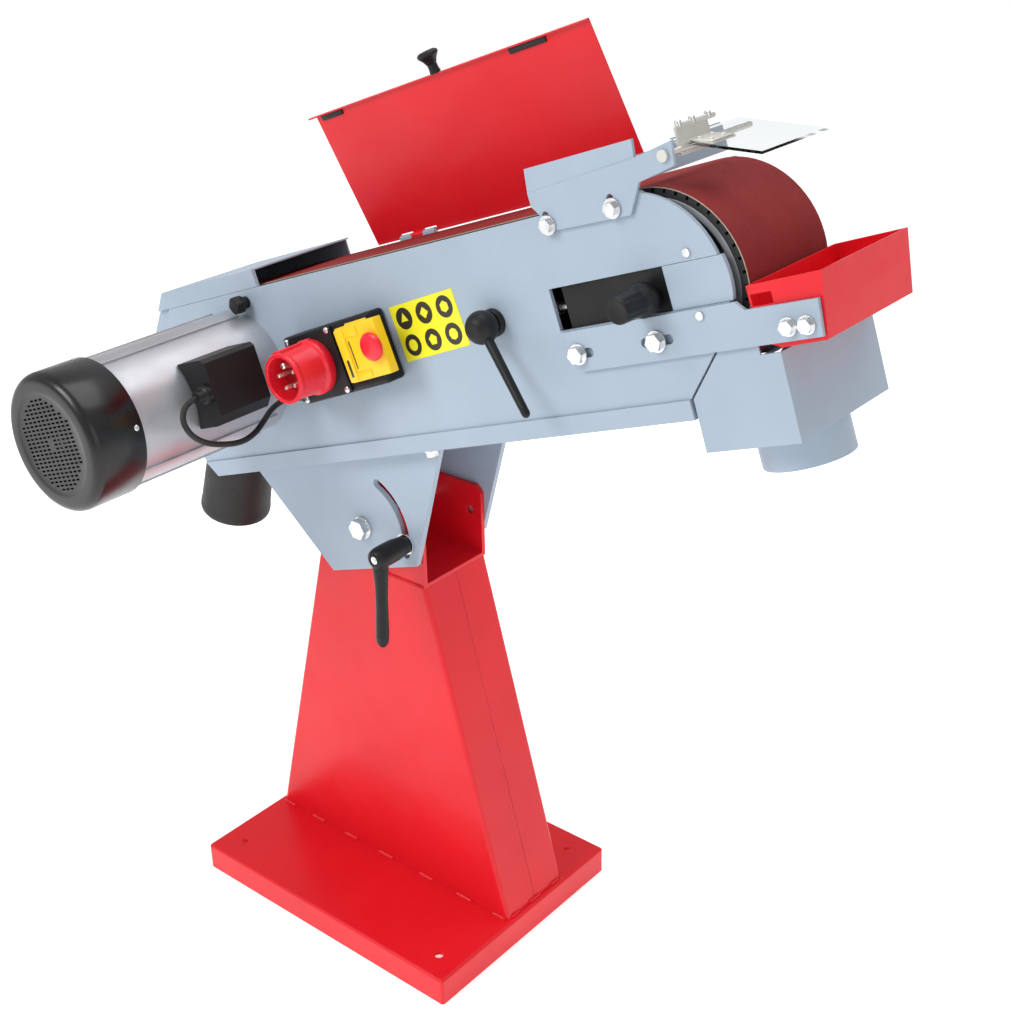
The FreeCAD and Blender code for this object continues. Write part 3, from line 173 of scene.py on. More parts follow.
# each corner colour below is a lighter copy of the base colour: a painted edge highlight, partly wear
M = {
    "red_paint": finish("red_paint", RED, 0.36, coat=0.08, grain=700, blotch=0.05,
                        corner_sheen_and_wear=(0.86, 0.18, 0.19), corner_sheen_and_wear_amount=0.4, spec=0.35),
    "grey_paint": finish("grey_paint", GREY, 0.44, grain=1000, blotch=0.05,
                         corner_sheen_and_wear=(0.58, 0.64, 0.70), corner_sheen_and_wear_amount=0.5, spec=0.4),
    "zinc": finish("zinc", (0.74, 0.75, 0.76), 0.24, metallic=1.0, grain=400, grain_depth=0.00004,
                   blotch=0.14, blotch_scale=120, corner_sheen_and_wear=(0.95, 0.95, 0.95), corner_sheen_and_wear_amount=0.6,
                   edge=0.0006),
    "machined": finish("machined", (0.50, 0.51, 0.52), 0.36, metallic=1.0, grain=260,
                       grain_stretch=(6, 0.3, 6), grain_depth=0.00003, blotch=0.1),
    "spring": finish("spring", (0.32, 0.33, 0.34), 0.38, metallic=1.0, grain=500, blotch=0.1),
    "graphite": finish("graphite", (0.045, 0.045, 0.05), 0.55, grain=1600, grain_depth=0.00012,
                       blotch=0.2),
    "cast": finish("cast", (0.50, 0.51, 0.54), 0.42, metallic=0.7, grain=220,
                   grain_stretch=(5, 0.12, 5), grain_depth=0.00005, blotch=0.08, blotch_scale=14,
                   corner_sheen_and_wear=(0.95, 0.95, 0.96), corner_sheen_and_wear_amount=0.4),
    "tyre": finish("tyre", (0.018, 0.018, 0.019), 0.62, grain=800, grain_depth=0.0001, blotch=0.25,
                   corner_sheen_and_wear=(0.06, 0.06, 0.06)),
    "belt": finish("belt", (0.235, 0.024, 0.025), 0.78, grain=1500, grain_depth=0.0005, blotch=0.16,
                   blotch_scale=11, speckle=(0.34, 0.06, 0.055), edge=0.0002, spec=0.15),
    "belt_back": finish("belt_back", (0.50, 0.42, 0.34), 0.8, grain=1800, grain_depth=0.0002,
                        blotch=0.1),
    "black": finish("black", (0.008, 0.008, 0.009), 0.42, grain=1100, grain_depth=0.00009, blotch=0.25,
                    corner_sheen_and_wear=(0.06, 0.06, 0.065), corner_sheen_and_wear_amount=0.4, spec=0.3),
    "gloss_black": finish("gloss_black", (0.006, 0.006, 0.007), 0.30, coat=0.15, grain=500,
                          grain_depth=0.00003, blotch=0.2, corner_sheen_and_wear=(0.05, 0.05, 0.05), corner_sheen_and_wear_amount=0.4,
                          spec=0.4),
    "rubber": finish("rubber", (0.010, 0.009, 0.009), 0.55, grain=900, grain_depth=0.0001, blotch=0.3,
                     corner_sheen_and_wear=(0.05, 0.05, 0.05), corner_sheen_and_wear_amount=0.4),
    "red_plastic": finish("red_plastic", (0.78, 0.012, 0.03), 0.32, grain=1200, grain_depth=0.00003,
                          blotch=0.06, corner_sheen_and_wear=(0.9, 0.12, 0.14), corner_sheen_and_wear_amount=0.35, edge=0.0006),
    # painted shade: a darker copy of the red plastic, for the recessed floor of the inlet
    "red_plastic_in_painted_shade": finish("red_plastic_in_painted_shade", (0.32, 0.004, 0.008), 0.42, grain=1200, grain_depth=0.00003,
                       blotch=0.1),
    "green_plastic": finish("green_plastic", (0.02, 0.33, 0.09), 0.34, grain=1200, grain_depth=0.00003,
                            blotch=0.08),
    "yellow": finish("yellow", (0.93, 0.58, 0.010), 0.34, grain=1200, grain_depth=0.00003, blotch=0.05,
                     corner_sheen_and_wear=(0.98, 0.75, 0.15), corner_sheen_and_wear_amount=0.35, edge=0.0006),
    "label_yellow": finish("label_yellow", (0.90, 0.83, 0.03), 0.36, grain=1500, grain_depth=0.00001,
                           blotch=0.04),
    # dark print, also used as the painted shade of the flap's lock slots
    "dark_print_and_slot_shade": finish("dark_print_and_slot_shade", (0.03, 0.028, 0.02), 0.40, grain=1500, grain_depth=0.00001, blotch=0.15),
    "pins": finish("pins", (0.90, 0.86, 0.78), 0.25, metallic=0.9, grain=700, grain_depth=0.00002,
                   blotch=0.08),
    "trim": finish("trim", (0.66, 0.65, 0.60), 0.36, metallic=0.5, grain=700, blotch=0.1,
                   corner_sheen_and_wear=(0.9, 0.9, 0.88)),
    "floor": finish("floor", (0.90, 0.90, 0.90), 0.85, grain=60, grain_depth=0.0001, blotch=0.01,
                    blotch_scale=0.6),
}


def clear_sheet():
    """Clear polycarbonate with faint scratches."""
    material, nodes, links, shader = new_material("clear_sheet")
    shader.inputs["Base Color"].default_value = (0.93, 0.96, 0.97, 1)
    shader.inputs["Transmission Weight"].default_value = 1.0
    shader.inputs["IOR"].default_value = 1.06
    coordinates = nodes.new("ShaderNodeTexCoord").outputs["Object"]
    scratches = noise(nodes, links, coordinates, 240, 4.0, (8, 0.6, 1))
    links.new(span(nodes, links, scratches, 0.45, 0.75, 0.02, 0.16), shader.inputs["Roughness"])
    bump = nodes.new("ShaderNodeBump")
    bump.inputs["Distance"].default_value = 0.00002
    links.new(scratches, bump.inputs["Height"])
    links.new(bump.outputs["Normal"], shader.inputs["Normal"])
    return material


M["clear"] = clear_sheet()

FINISH_OF = {
    "red_paint": "base_plate column_near_half column_far_half yoke top_cover spark_tray",
    "grey_paint": "main_plate head_floor near_tilt_bracket far_tilt_bracket belt_door rear_hood "
                  "dust_hood dust_spigot upper_bracket rest_arm carriage_face",
    "zinc": "pivot_bolt clamp_stud head_bolts tray_bolts door_hinges cover_hinge_pins tension_rod "
            "guide_strips wheel_axle",
    "machined": "platen_bed drive_wheel motor_shaft wheel_bearings motor_stator",
    "spring": "tension_spring",
    "graphite": "platen",
    "cast": "contact_wheel motor_body motor_end_shields",
    "tyre": "contact_tyre",
    "belt": "abrasive_belt",
    "black": "clamp_lever cover_handle tension_lever tracking_knob hood_knob motor_fan terminal_box "
             "cable_glands switch_box axle_carriage",
    "gloss_black": "fan_cover",
    "rubber": "rear_spigot motor_cable",
    "clear": "spark_shield",
    "trim": "shield_hinge",
    "red_plastic": "power_inlet stop_mushroom stop_button",
    "green_plastic": "start_button",
    "pins": "inlet_pins",
    "yellow": "switch_flap",
    "label_yellow": "safety_label",
}
for key, names in FINISH_OF.items():
    for node_name in names.split():
        data = NODES[node_name].data
        data.materials.clear()
        data.materials.append(M[key])


# ---------------------------------------------------------------- mesh helpers
def link(name, data):
    """Add an object to the scene."""
    thing = bpy.data.objects.new(name, data)
    bpy.context.scene.collection.objects.link(thing)
    return thing


def shade_smooth(mesh, sharp):
    """Smooth shading, with edges sharper than an angle in degrees kept."""
    mesh.polygons.foreach_set("use_smooth", [True] * len(mesh.polygons))
    mesh.set_sharp_from_angle(angle=math.radians(sharp))


def place(name, bm, matrix, material, body, sharp=35.0, replaces=()):
    """Turn a bmesh drawn in a frame into a named piece that rides on a body."""
    bmesh.ops.remove_doubles(bm, verts=bm.verts, dist=1e-5)
    bm.transform(matrix)
    bmesh.ops.recalc_face_normals(bm, faces=bm.faces)
    mesh = bpy.data.meshes.new(name)
    bm.to_mesh(mesh)
    bm.free()
    shade_smooth(mesh, sharp)
    mesh.materials.append(M[material])
    piece = link(name, mesh)
    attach(piece, body)
    if replaces:
        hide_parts(*replaces)
    return piece


def carve(piece, tool, matrix):
    """Cut a bmesh drawn in a frame out of a piece."""
    tool.transform(matrix)
    mesh = bpy.data.meshes.new("cutter")
    tool.to_mesh(mesh)
    tool.free()
    cutter = link("cutter", mesh)
    cut = piece.modifiers.new("cut", "BOOLEAN")
    cut.operation, cut.solver, cut.object = "DIFFERENCE", "EXACT", cutter
    bpy.context.view_layer.update()
    depsgraph = bpy.context.evaluated_depsgraph_get()
    solid = bpy.data.meshes.new_from_object(piece.evaluated_get(depsgraph))
    piece.modifiers.clear()
    piece.data = solid
    bpy.data.objects.remove(cutter)
    return solid


def lathe(bm, profile, centre=(0.0, 0.0), segments=64, flutes=None):
    """Add a solid of revolution about the y axis; profile is (radius, y), flutes shapes the radius."""
    rings = []
    for r, y in profile:
        if r < 1e-6:
            rings.append([bm.verts.new((centre[0], y, centre[1]))])
            continue
        ring = []
        for k in range(segments):
            a = 2 * math.pi * k / segments
            size = r * (flutes(a, y) if flutes else 1.0)
            ring.append(bm.verts.new((centre[0] + size * math.cos(a), y,
                                      centre[1] + size * math.sin(a))))
        rings.append(ring)
    for low, high in zip(rings, rings[1:]):
        for k in range(segments):
            j = (k + 1) % segments
            corners = [low[k % len(low)], low[j % len(low)], high[j % len(high)], high[k % len(high)]]
            unique = list(dict.fromkeys(corners))
            if len(unique) > 2:
                bm.faces.new(unique)


def block(bm, x0, x1, y0, y1, z0, z1, radius=0.0, segments=3):
    """Add a box with rounded edges."""
    part = bmesh.new()
    matrix = Matrix.Translation(((x0 + x1) / 2, (y0 + y1) / 2, (z0 + z1) / 2))
    matrix = matrix @ Matrix.Diagonal((x1 - x0, y1 - y0, z1 - z0, 1))
    bmesh.ops.create_cube(part, size=1.0, matrix=matrix)
    if radius:
        bmesh.ops.bevel(part, geom=part.edges[:], offset=radius, segments=segments, profile=0.5,
                        affect="EDGES", clamp_overlap=True)
    copies = {v: bm.verts.new(v.co) for v in part.verts}
    for face in part.faces:
        bm.faces.new([copies[v] for v in face.verts])
    part.free()


def sweep(bm, path, radii, segments=20, squash=1.0):
    """Add a closed tube along points with a radius at each; squash flattens its section."""
    points = [Vector(p) for p in path]
    side = None
    rings = []
    for k, point in enumerate(points):
        ahead = points[min(k + 1, len(points) - 1)] - points[max(k - 1, 0)]
        ahead.normalize()
        if side is None:
            side = ahead.orthogonal().normalized()
        side = (side - ahead * side.dot(ahead)).normalized()
        other = ahead.cross(side)
        ring = []
        for j in range(segments):
            a = 2 * math.pi * j / segments
            around = side * math.cos(a) + other * math.sin(a) * squash
            ring.append(bm.verts.new(point + around * radii[k]))
        rings.append(ring)
    for low, high in zip(rings, rings[1:]):
        for j in range(segments):
            i = (j + 1) % segments
            bm.faces.new((low[j], low[i], high[i], high[j]))
    for ring in (rings[0][::-1], rings[-1]):
        bm.faces.new(ring)


def rounded_end(path, radius, steps=6):
    """Extend a path by a half-round tip: returns the extra points and their radii."""
    end, before = Vector(path[-1]), Vector(path[-2])
    ahead = (end - before).normalized()
    extra = [end + ahead * radius * math.sin(math.pi / 2 * k / steps) for k in range(1, steps + 1)]
    sizes = [max(0.05, radius * math.cos(math.pi / 2 * k / steps)) for k in range(1, steps + 1)]
    return extra, sizes


# ---------------------------------------------------------------- stand
def weld_beads():
    """Stitch welds along the column's feet, and one along each side of its top."""
    bead, step = 3.3, 1.1
    floor_z, top_z = 40.8, 517.2
    side_y, top_y, end_x = 60.6, 60.0, 221.6
    bm = bmesh.new()

    def stitch(start, end):
        start, end = Vector(start), Vector(end)
        count = max(8, int((end - start).length / step))
        path = [start.lerp(end, k / count) for k in range(count + 1)]
        sizes = [bead * min(1, 0.35 + 0.3 * min(k, count - k)) * (1 + 0.13 * math.sin(k * 2.1))
                 for k in range(count + 1)]
        sweep(bm, path, sizes, 10, squash=0.8)
    for side in (-1, 1):
        for x0, x1 in ((-218, -196), (-160, -132), (-92, -64), (-22, 8),
                       (58, 86), (128, 158), (194, 218)):
            stitch((x0, side * side_y, floor_z), (x1, side * side_y, floor_z))
        for y0, y1 in ((-52, -34), (-14, 12), (34, 52)):
            stitch((side * end_x, y0, floor_z), (side * end_x, y1, floor_z))
        stitch((-94, side * top_y, top_z), (94, side * top_y, top_z))
    place("weld_beads", bm, STAND, "red_paint", "stand", 60)


def clamp_lever():
    """Adjustable clamping lever: a steel-cored hub and a drooping moulded handle."""
    cx, cz, face = 76.0, 580.0, -69.0
    bm = bmesh.new()
    lathe(bm, [(0, face - 3.6), (11.6, face - 3.6), (12.4, face - 5), (12.6, face - 12),
               (14.4, face - 22), (14.6, face - 40), (14.0, face - 52), (12.0, face - 57.5),
               (9.0, face - 59.6), (6.2, face - 60), (5.8, face - 58), (0, face - 58)], (cx, cz), 40)
    path = [(cx - 1.0, face - 47.0, cz + 4), (cx - 0.3, face - 47.6, cz - 8),
            (cx + 0.4, face - 48.6, cz - 22), (cx + 1.2, face - 49.8, cz - 38),
            (cx + 1.9, face - 51.2, cz - 56), (cx + 2.5, face - 52.6, cz - 76),
            (cx + 3.0, face - 54.0, cz - 96), (cx + 3.4, face - 55.2, cz - 110),
            (cx + 3.6, face - 56.0, cz - 118)]
    sizes = [10.5, 10.8, 9.6, 8.4, 7.8, 8.0, 8.4, 8.6, 7.6]
    extra, tips = rounded_end(path, 6.4)
    sweep(bm, path + extra, sizes + tips, 24)
    place("clamp_handle", bm, STAND, "black", "clamp", 40, ["clamp_lever"])
    screw = bmesh.new()
    lathe(screw, [(0, face - 59.6), (2.2, face - 59.6), (2.4, face - 58.6), (5.2, face - 58.8),
                  (5.6, face - 58.0), (5.6, face - 57), (0, face - 57)], (cx, cz), 24)
    place("clamp_screw", screw, STAND, "zinc", "clamp")


# ---------------------------------------------------------------- head controls
def tension_lever():
    """Quick-release lever: a black ball on a collar, with a steel-cored rod."""
    u, w, y = LEVER_U, AXLE_W, -HEAD_HALF
    ball_y, ball_r, ball_half, ball_flat = y - 22, 19.0, 18.6, y - 38.4
    ball_steps, rod_steps = 24, 10
    bm = bmesh.new()
    lathe(bm, [(0, y - 0.4), (15.6, y - 0.4), (16, y - 1), (16, y - 6), (14.5, y - 7.6), (0, y - 7.6)],
          (u, w), 40)
    ball = []
    for k in range(ball_steps + 1):
        a = math.pi * k / ball_steps
        ball.append((max(0, ball_r * math.sin(a)), max(ball_y + ball_half * math.cos(a), ball_flat)))
    lathe(bm, ball, (u, w), 48)
    start, end = Vector((u, ball_y, w)), Vector((u + 48, y - 44, w - 97))
    path = [start.lerp(end, k / rod_steps) for k in range(rod_steps + 1)]
    sizes = [5.7 - 0.9 * k / rod_steps for k in range(rod_steps + 1)]
    extra, tips = rounded_end(path, 4.6)
    sweep(bm, path + extra, sizes + tips, 24)
    place("tension_handle", bm, HEAD, "black", "tension", 40, ["tension_lever"])


def tracking_knob():
    """Fluted tracking knob with a dished cap."""
    flute_count, flute_depth, flute_y = 10, 0.07, (-143, -109)
    bm = bmesh.new()

    def flutes(angle, y):
        if not flute_y[0] < y < flute_y[1]:
            return 1.0
        return 1.0 - flute_depth * max(0.0, math.cos(angle * flute_count))
    lathe(bm, [(0, -143.2), (7, -143.6), (10.5, -144.8), (12.5, -144.6), (13.6, -143), (14, -140),
               (14, -128), (14, -114), (14.6, -111), (16.5, -108), (18, -104.5), (18, -96),
               (16.8, -93), (9, -92), (6, -92), (6, -84), (0, -84)],
          TRACKING_CENTRE, 60, flutes=flutes)
    place("tracking_grip", bm, HEAD, "black", "steering", 40, ["tracking_knob"])


def hood_knob():
    """Lobed knob of the rear hood."""
    lobe_count, lobe_height, neck_y = 6, 0.055, -HEAD_HALF - 9
    bm = bmesh.new()

    def lobes(angle, y):
        return 1.0 + (lobe_height * math.cos(angle * lobe_count) if y < neck_y else 0.0)
    y = -HEAD_HALF
    lathe(bm, [(0, y - 21.4), (7, y - 21.8), (9.6, y - 21.0), (11.2, y - 18.6), (11.3, y - 12),
               (10.4, y - 9.5), (8, y - 7), (7.8, y - 0.5), (0, y - 0.5)],
          HOOD_KNOB_CENTRE, 48, flutes=lobes)
    place("hood_grip", bm, HEAD, "black", "hood_knob_body", 40, ["hood_knob"])


def cover_trim():
    """Rubber pads inside the top cover's turned edge."""
    y, w = COVER_HINGE
    free = y - 181.7                        # the turned edge, across the cover from its hinge
    bm = bmesh.new()
    for u0, u1 in ((19, 58), (350, 406)):
        block(bm, u0, u1, free + 1.8, free + 8.6, w + 0.2, w + 2.5, 0.7, 2)
    place("cover_pads", bm, COVER, "rubber", "cover")


# ---------------------------------------------------------------- motor
def fan_cover():
    """Deep-drawn fan cover with rows of small slots in its face."""
    back, face, r = -319.1, -391.0, 86.5
    round_r, round_y, round_steps = 11, 13.6, 8
    slot_u, slot_w, pitch_u, pitch_w = 3.2, 1.15, 9.6, 5.0
    field_r, boss_r = 58.5, 9               # the slots lie between the face's middle and its rim
    profile = [(r - 2.2, back), (r - 0.6, back - 0.4), (r, back - 1.4), (r, face + 14)]
    for k in range(1, round_steps + 1):
        a = math.pi / 2 * k / round_steps
        profile.append((r - round_r + round_r * math.cos(a), face + 14 - round_y * math.sin(a)))
    profile += [(66, face + 0.2), (63.5, face + 0.6), (62, face + 1.2), (0, face + 1.2),
                (0, face + 3.0), (64, face + 3.0), (72, face + 3.2), (r - 5, face + 9),
                (r - 2.2, face + 16), (r - 2.2, back)]
    bm = bmesh.new()
    lathe(bm, profile, (DRIVE_U, AXLE_W), 96)
    cover = place("fan_shroud", bm, HEAD, "gloss_black", "head", 50)
    slots = bmesh.new()
    for i in range(-6, 7):
        for j in range(-12, 13):
            u, w = i * pitch_u, j * pitch_w
            inside = math.hypot(abs(u) + 3.3, abs(w) + 1.2) < field_r
            if inside and math.hypot(u, w) > boss_r:
                block(slots, DRIVE_U + u - slot_u, DRIVE_U + u + slot_u, face - 1, face + 5,
                      AXLE_W + w - slot_w, AXLE_W + w + slot_w)
    shade_smooth(carve(cover, slots, HEAD), 40)
    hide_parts("fan_cover")
    screws = bmesh.new()
    for angle in (-5, 85, 175, 265):
        a = math.radians(angle)
        axis = Vector((math.cos(a), 0, math.sin(a)))
        for out, size in ((r - 1.0, 3.9), (r, 3.6)):
            centre = Vector((DRIVE_U + out * math.cos(a), back - 9, AXLE_W + out * math.sin(a)))
            sweep(screws, [centre - axis * 1.5, centre + axis * 0.3, centre + axis * 1.0],
                  [size, size, size * 0.7], 16)
    place("fan_cover_screws", screws, HEAD, "zinc", "head", 30)


def cable():
    """The cable between the terminal box and the switch box, along the CAD route's points."""
    radius = 0.0036
    route = [(4, -254, 234), (4.3, -270, 233), (5.5, -284, 217), (6.5, -280, 196), (5.5, -262, 180),
             (3, -236, 170), (0, -209, 164), (-5, -184, 166), (-12, -160, 174), (-24, -133, 184),
             (-19, -112, 190), (0, -104, 192)]
    curve = bpy.data.curves.new("motor_lead", "CURVE")
    curve.dimensions = "3D"
    curve.bevel_depth = radius
    curve.bevel_resolution = 6
    curve.resolution_u = 16
    curve.use_fill_caps = True
    spline = curve.splines.new("NURBS")
    spline.points.add(len(route) - 1)
    for point, place_mm in zip(spline.points, route):
        point.co = (*(HEAD @ Vector(place_mm)), 1.0)
    spline.order_u = 3
    spline.use_endpoint_u = True
    curve.materials.append(M["rubber"])
    lead = link("motor_lead", curve)
    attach(lead, "head")
    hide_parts("motor_cable")


# ---------------------------------------------------------------- switch
def power_inlet():
    """Five-pin inlet: a black flange with screws, a red collar and a flared barrel with a keyway."""
    front, u = SWITCH_FRONT, INLET_U
    pin_count, pin_circle, earth_r, pin_r = 5, 14.5, 3.8, 2.8
    flange = bmesh.new()
    block(flange, u - 45, u + 45, front - 3.8, front, -42, 42, 1.8, 3)
    place("inlet_flange", flange, SWITCH, "black", "head")
    bm = bmesh.new()
    profile = [(0, front - 3), (33.2, front - 3), (34, front - 4.5), (34, front - 14),
               (33, front - 16), (31.6, front - 17.2), (31, front - 19), (30.1, front - 34),
               (29.5, front - 50), (29.5, front - 53), (30.6, front - 54), (31, front - 55.4),
               (31, front - 58.8), (30.2, front - 60), (27, front - 60), (26.1, front - 59),
               (26, front - 30), (0, front - 30)]
    lathe(bm, profile, (u, 0), 72)
    block(bm, u - 5.5, u + 5.5, front - 57, front - 14, 27, 33.6, 1.6, 3)
    block(bm, u - 9, u + 9, front - 14, front - 4, 30, 34.8, 2.0, 3)
    place("inlet_barrel", bm, SWITCH, "red_plastic", "head", 40, ["power_inlet"])
    # painted shade: the floor deep inside the barrel is a darker copy of the barrel's red
    floor = bmesh.new()
    lathe(floor, [(0, front - 34), (25.7, front - 34), (25.7, front - 30.4), (0, front - 30.4)],
          (u, 0), 48)
    place("inlet_floor", floor, SWITCH, "red_plastic_in_painted_shade", "head")
    pins = bmesh.new()
    for k in range(pin_count):
        a = math.radians(90 + 360 / pin_count * k)
        r = earth_r if k == 0 else pin_r
        lathe(pins, [(0, front - 54), (r * 0.6, front - 54), (r, front - 52.6), (r, front - 34),
                     (0, front - 34)],
              (u + pin_circle * math.cos(a), pin_circle * math.sin(a)), 20)
    place("inlet_contacts", pins, SWITCH, "pins", "head", 40, ["inlet_pins"])
    screws = bmesh.new()
    for x, z in ((-39, 37), (39, 37), (-39, -37), (39, -37)):
        lathe(screws, [(0, front - 6.4), (2.6, front - 6.2), (3.9, front - 5.2), (4.2, front - 3.8),
                       (0, front - 3.8)], (u + x, z), 20)
    place("inlet_screws", screws, SWITCH, "zinc", "head")


def switch_case():
    """Rounded switch box with the pocket that holds the two buttons."""
    front = SWITCH_FRONT
    bm = bmesh.new()
    block(bm, -72.5, 88, front, -HEAD_HALF, -43, 43, 4.5, 4)
    case = place("switch_case", bm, SWITCH, "black", "head")
    pocket = bmesh.new()
    block(pocket, 50, 85, front - 4, front + 18, -26, 24)
    carve(case, pocket, SWITCH)
    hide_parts("switch_box")


def mushroom():
    """Red stop mushroom with a domed cap."""
    face = FLAP_FRONT
    bm = bmesh.new()
    lathe(bm, [(0, face - 11), (5, face - 10.9), (10, face - 10.4), (13.6, face - 9.6),
               (16.2, face - 8.4), (17, face - 7), (17, face - 5), (16, face - 3.8),
               (8.2, face - 3.4), (8, face - 3.2), (8, face + 7.8), (0, face + 7.8)], (104, 5), 56)
    place("stop_cap", bm, SWITCH, "red_plastic", "mushroom", 40, ["stop_mushroom"])


def flap():
    """Hinged yellow flap: a shell with a thick band, ribs, a hinge barrel and lock slots drawn as dark
    sheets of painted shade.
    """
    front = FLAP_FRONT
    bm = bmesh.new()
    block(bm, 44, 114, front, front + 4, -31, 36, 1.9, 3)
    for x0, x1, z0, z1 in ((44, 47.2, -31, 36), (111.5, 114, -31, 36),
                           (45, 113, -31, -27.8), (45, 113, 31.4, 36)):
        block(bm, x0, x1, front + 1, front + 13.8, z0, z1, 1.0, 2)
    block(bm, 44.4, 59, front - 2.6, front + 1, -30, 34, 1.6, 3)
    block(bm, 59, 84, front - 1.4, front + 1, -29, -20, 0.9, 2)
    block(bm, 59, 82, front - 1.4, front + 1, 22, 34, 0.9, 2)
    block(bm, 52, 90, -123.7, -119.5, 34, 38, 1.6, 3)
    place("flap_shell", bm, SWITCH, "yellow", "flap", 40, ["switch_flap"])
    # painted shade: the lock slots are not cut; thin dark sheets stand in for their shaded openings
    slot = bmesh.new()
    block(slot, 61.5, 63.5, front - 0.35, front + 0.5, -16, 18, 0.3, 2)
    block(slot, 50.5, 54.5, front - 2.95, front - 2.4, -24, -3, 0.25, 2)
    place("flap_slot", slot, SWITCH, "dark_print_and_slot_shade", "flap")


def label():
    """Blank label with six plain dark discs, each with a simple shape and no pictogram."""
    columns, rows, disc_r, mark_r = (-34.5, 0.0, 34.5), (16.2, -16.2), 13.0, 7.0
    corner_counts = (3, 4, 6, 40, 5, 8)
    sheet = bmesh.new()
    block(sheet, -54, 54, -0.5, 0, -33.5, 33.5, 0.2, 1)
    place("label_sheet", sheet, LABEL, "label_yellow", "head", 40, ["safety_label"])
    discs, marks = bmesh.new(), bmesh.new()
    centres = [(x, z) for z in rows for x in columns]
    for (x, z), sides in zip(centres, corner_counts):
        lathe(discs, [(0, -0.62), (disc_r, -0.62), (disc_r, -0.5), (0, -0.5)], (x, z), 48)
        angles = [2 * math.pi * k / sides + math.pi / 2 for k in range(sides)]
        front, back = ([marks.verts.new((x + mark_r * math.cos(a), y, z + mark_r * math.sin(a)))
                        for a in angles] for y in (-0.74, -0.62))
        marks.faces.new(front)
        marks.faces.new(back[::-1])
        for k in range(sides):
            j = (k + 1) % sides
            marks.faces.new((front[k], front[j], back[j], back[k]))
    place("label_discs", discs, LABEL, "dark_print_and_slot_shade", "head")
    place("label_marks", marks, LABEL, "label_yellow", "head")


# ---------------------------------------------------------------- guards
def rear_sleeve():
    """Rubber sleeve with a rolled mouth and moulding lines."""
    lean = math.radians(35.0)
    axis = Vector((-math.sin(lean), 0, -math.cos(lean)))
    start = Vector((-259, -20, 121)) + axis * 2.2
    turn = Vector((0, 1, 0)).rotation_difference(axis).to_matrix().to_4x4()
    matrix = HEAD @ Matrix.Translation(start) @ turn
    bm = bmesh.new()
    lathe(bm, [(41, 0), (45.8, 0.3), (46.1, 2), (46.3, 8), (45.7, 9.4), (46.0, 10.8), (47.2, 40),
               (48.6, 78), (49.2, 96), (49.9, 99), (50, 105), (49.3, 107.6), (47.6, 108),
               (46.2, 107), (44, 60), (41, 0)], segments=72)
    place("rear_sleeve", bm, matrix, "rubber", "head", 50, ["rear_spigot"])


def shield_hinge():
    """Clear shield's hinge details: a bright clamp plate with screws and the rail's screws."""
    hinge_u, hinge_w, slope = 631.5, 365, math.radians(15.2)
    sheet = HEAD @ Matrix.Translation((hinge_u, 0, hinge_w)) @ Matrix.Rotation(slope, 4, "Y")
    bm = bmesh.new()
    block(bm, 2, 29, -49, -11, 0.1, 1.5, 0.5, 2)
    for x, y in ((9, -42), (22, -42), (9, -20), (22, -20)):
        sweep(bm, [(x, y, 1.0), (x, y, 2.6), (x, y, 3.2)], [3.0, 3.0, 1.8], 14)
    place("shield_plate", bm, sheet, "trim", "shield")
    screws = bmesh.new()
    for y in (-58, -34, -6):
        sweep(screws, [(hinge_u, y, w) for w in (380, 385.5, 386.6)], [3.6, 3.6, 2.2], 14)
    place("shield_rail_screws", screws, HEAD, "zinc", "shield")


def belt_edge():
    """The belt's pale cloth edge along the near rim."""
    bm = bmesh.new()
    inner, outer, near, rim = 100.42, 101.50, -75.25, -75.0
    steps = 32
    loops = []
    for centre, start in ((AXLE_U, -math.pi / 2), (DRIVE_U, math.pi / 2)):
        for k in range(steps + 1):
            a = start + math.pi * k / steps
            loops.append([bm.verts.new((centre + r * math.cos(a), y, AXLE_W + r * math.sin(a)))
                          for r, y in ((inner, near), (outer, near), (outer, rim), (inner, rim))])
    for k, loop in enumerate(loops):
        after = loops[(k + 1) % len(loops)]
        for j in range(4):
            i = (j + 1) % 4
            bm.faces.new((loop[j], loop[i], after[i], after[j]))
    place("belt_edge", bm, HEAD, "belt_back", "head")


for build in (weld_beads, clamp_lever, tension_lever, tracking_knob, hood_knob, cover_trim,
              fan_cover, cable, switch_case, power_inlet, mushroom, flap, label, rear_sleeve,
              shield_hinge, belt_edge):
    build()


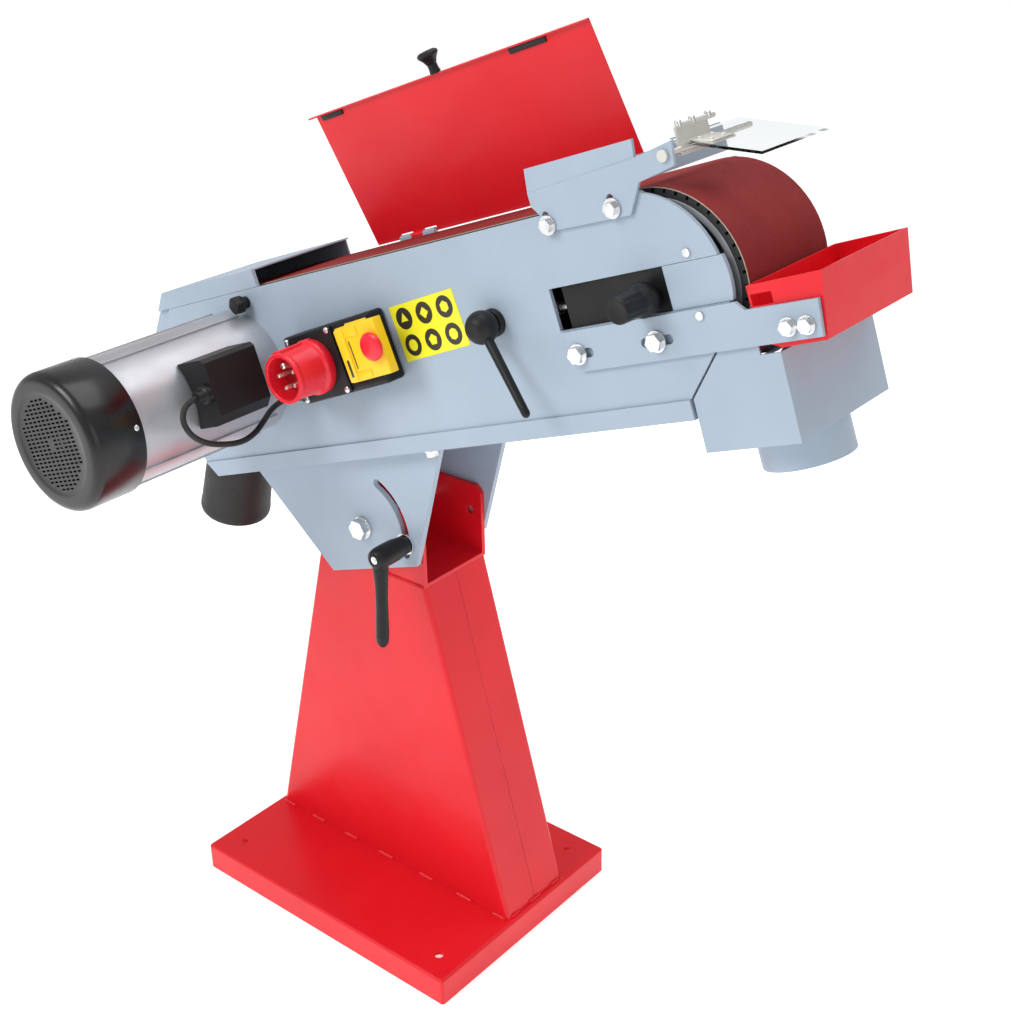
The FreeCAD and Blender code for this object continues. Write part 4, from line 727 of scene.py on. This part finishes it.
# ---------------------------------------------------------------- floor, light and camera
def area_light(name, spot, aim, size, power):
    """A square soft light at a spot, turned towards its aim; size in metres, power in watts."""
    light = bpy.data.lights.new(name, "AREA")
    light.shape = "SQUARE"
    light.size = size
    light.energy = power
    lamp = link(name, light)
    lamp.location = spot
    lamp.rotation_euler = (Vector(aim) - Vector(spot)).to_track_quat("-Z", "Y").to_euler()


def studio():
    """Plain pale floor, even surroundings and three soft lights."""
    floor_glow, surround, drop = 0.55, 0.5, 0.0005
    bm = bmesh.new()
    bmesh.ops.create_grid(bm, x_segments=8, y_segments=8, size=20.0)
    mesh = bpy.data.meshes.new("floor")
    bm.to_mesh(mesh)
    bm.free()
    shader = M["floor"].node_tree.nodes["Principled BSDF"]
    shader.inputs["Emission Color"].default_value = (1.0, 1.0, 1.0, 1.0)
    shader.inputs["Emission Strength"].default_value = floor_glow
    mesh.materials.append(M["floor"])
    floor = link("floor", mesh)
    floor.location = (0, 0, -drop)
    world = bpy.data.worlds.new("studio")
    world.use_nodes = True
    background = world.node_tree.nodes["Background"]
    background.inputs["Color"].default_value = (1.0, 1.0, 1.0, 1)
    background.inputs["Strength"].default_value = surround
    bpy.context.scene.world = world
    area_light("key", (-0.9, -2.6, 2.9), (0.1, 0, 0.6), 1.6, 62)
    area_light("fill", (3.0, -1.2, 1.7), (0.1, 0, 0.6), 1.8, 10)
    area_light("top", (0.2, 0.6, 3.4), (0.2, 0, 0.5), 2.4, 40)


def camera():
    """The main view's camera, slightly rolled."""
    azimuth, elevation, roll = math.radians(40.3), math.radians(26.2), math.radians(1.3)
    level = math.cos(elevation)
    back = Vector((math.sin(azimuth) * level, -math.cos(azimuth) * level, math.sin(elevation)))
    right = Vector((math.cos(azimuth), math.sin(azimuth), 0))
    up = back.cross(right)
    right_rolled = right * math.cos(roll) - up * math.sin(roll)
    up_rolled = right * math.sin(roll) + up * math.cos(roll)
    data = bpy.data.cameras.new("camera")
    data.lens = 56.01
    data.sensor_width = 36.0
    data.shift_x, data.shift_y = 0.0006, 0.003
    data.clip_end = 100.0
    eye = link("camera", data)
    turn = Matrix((right_rolled, up_rolled, back)).transposed().to_4x4()
    eye.matrix_world = Matrix.Translation((1.3154, -1.3085, 1.4971)) @ turn
    bpy.context.scene.camera = eye


studio()
camera()
bpy.context.scene.view_settings.view_transform = "Standard"
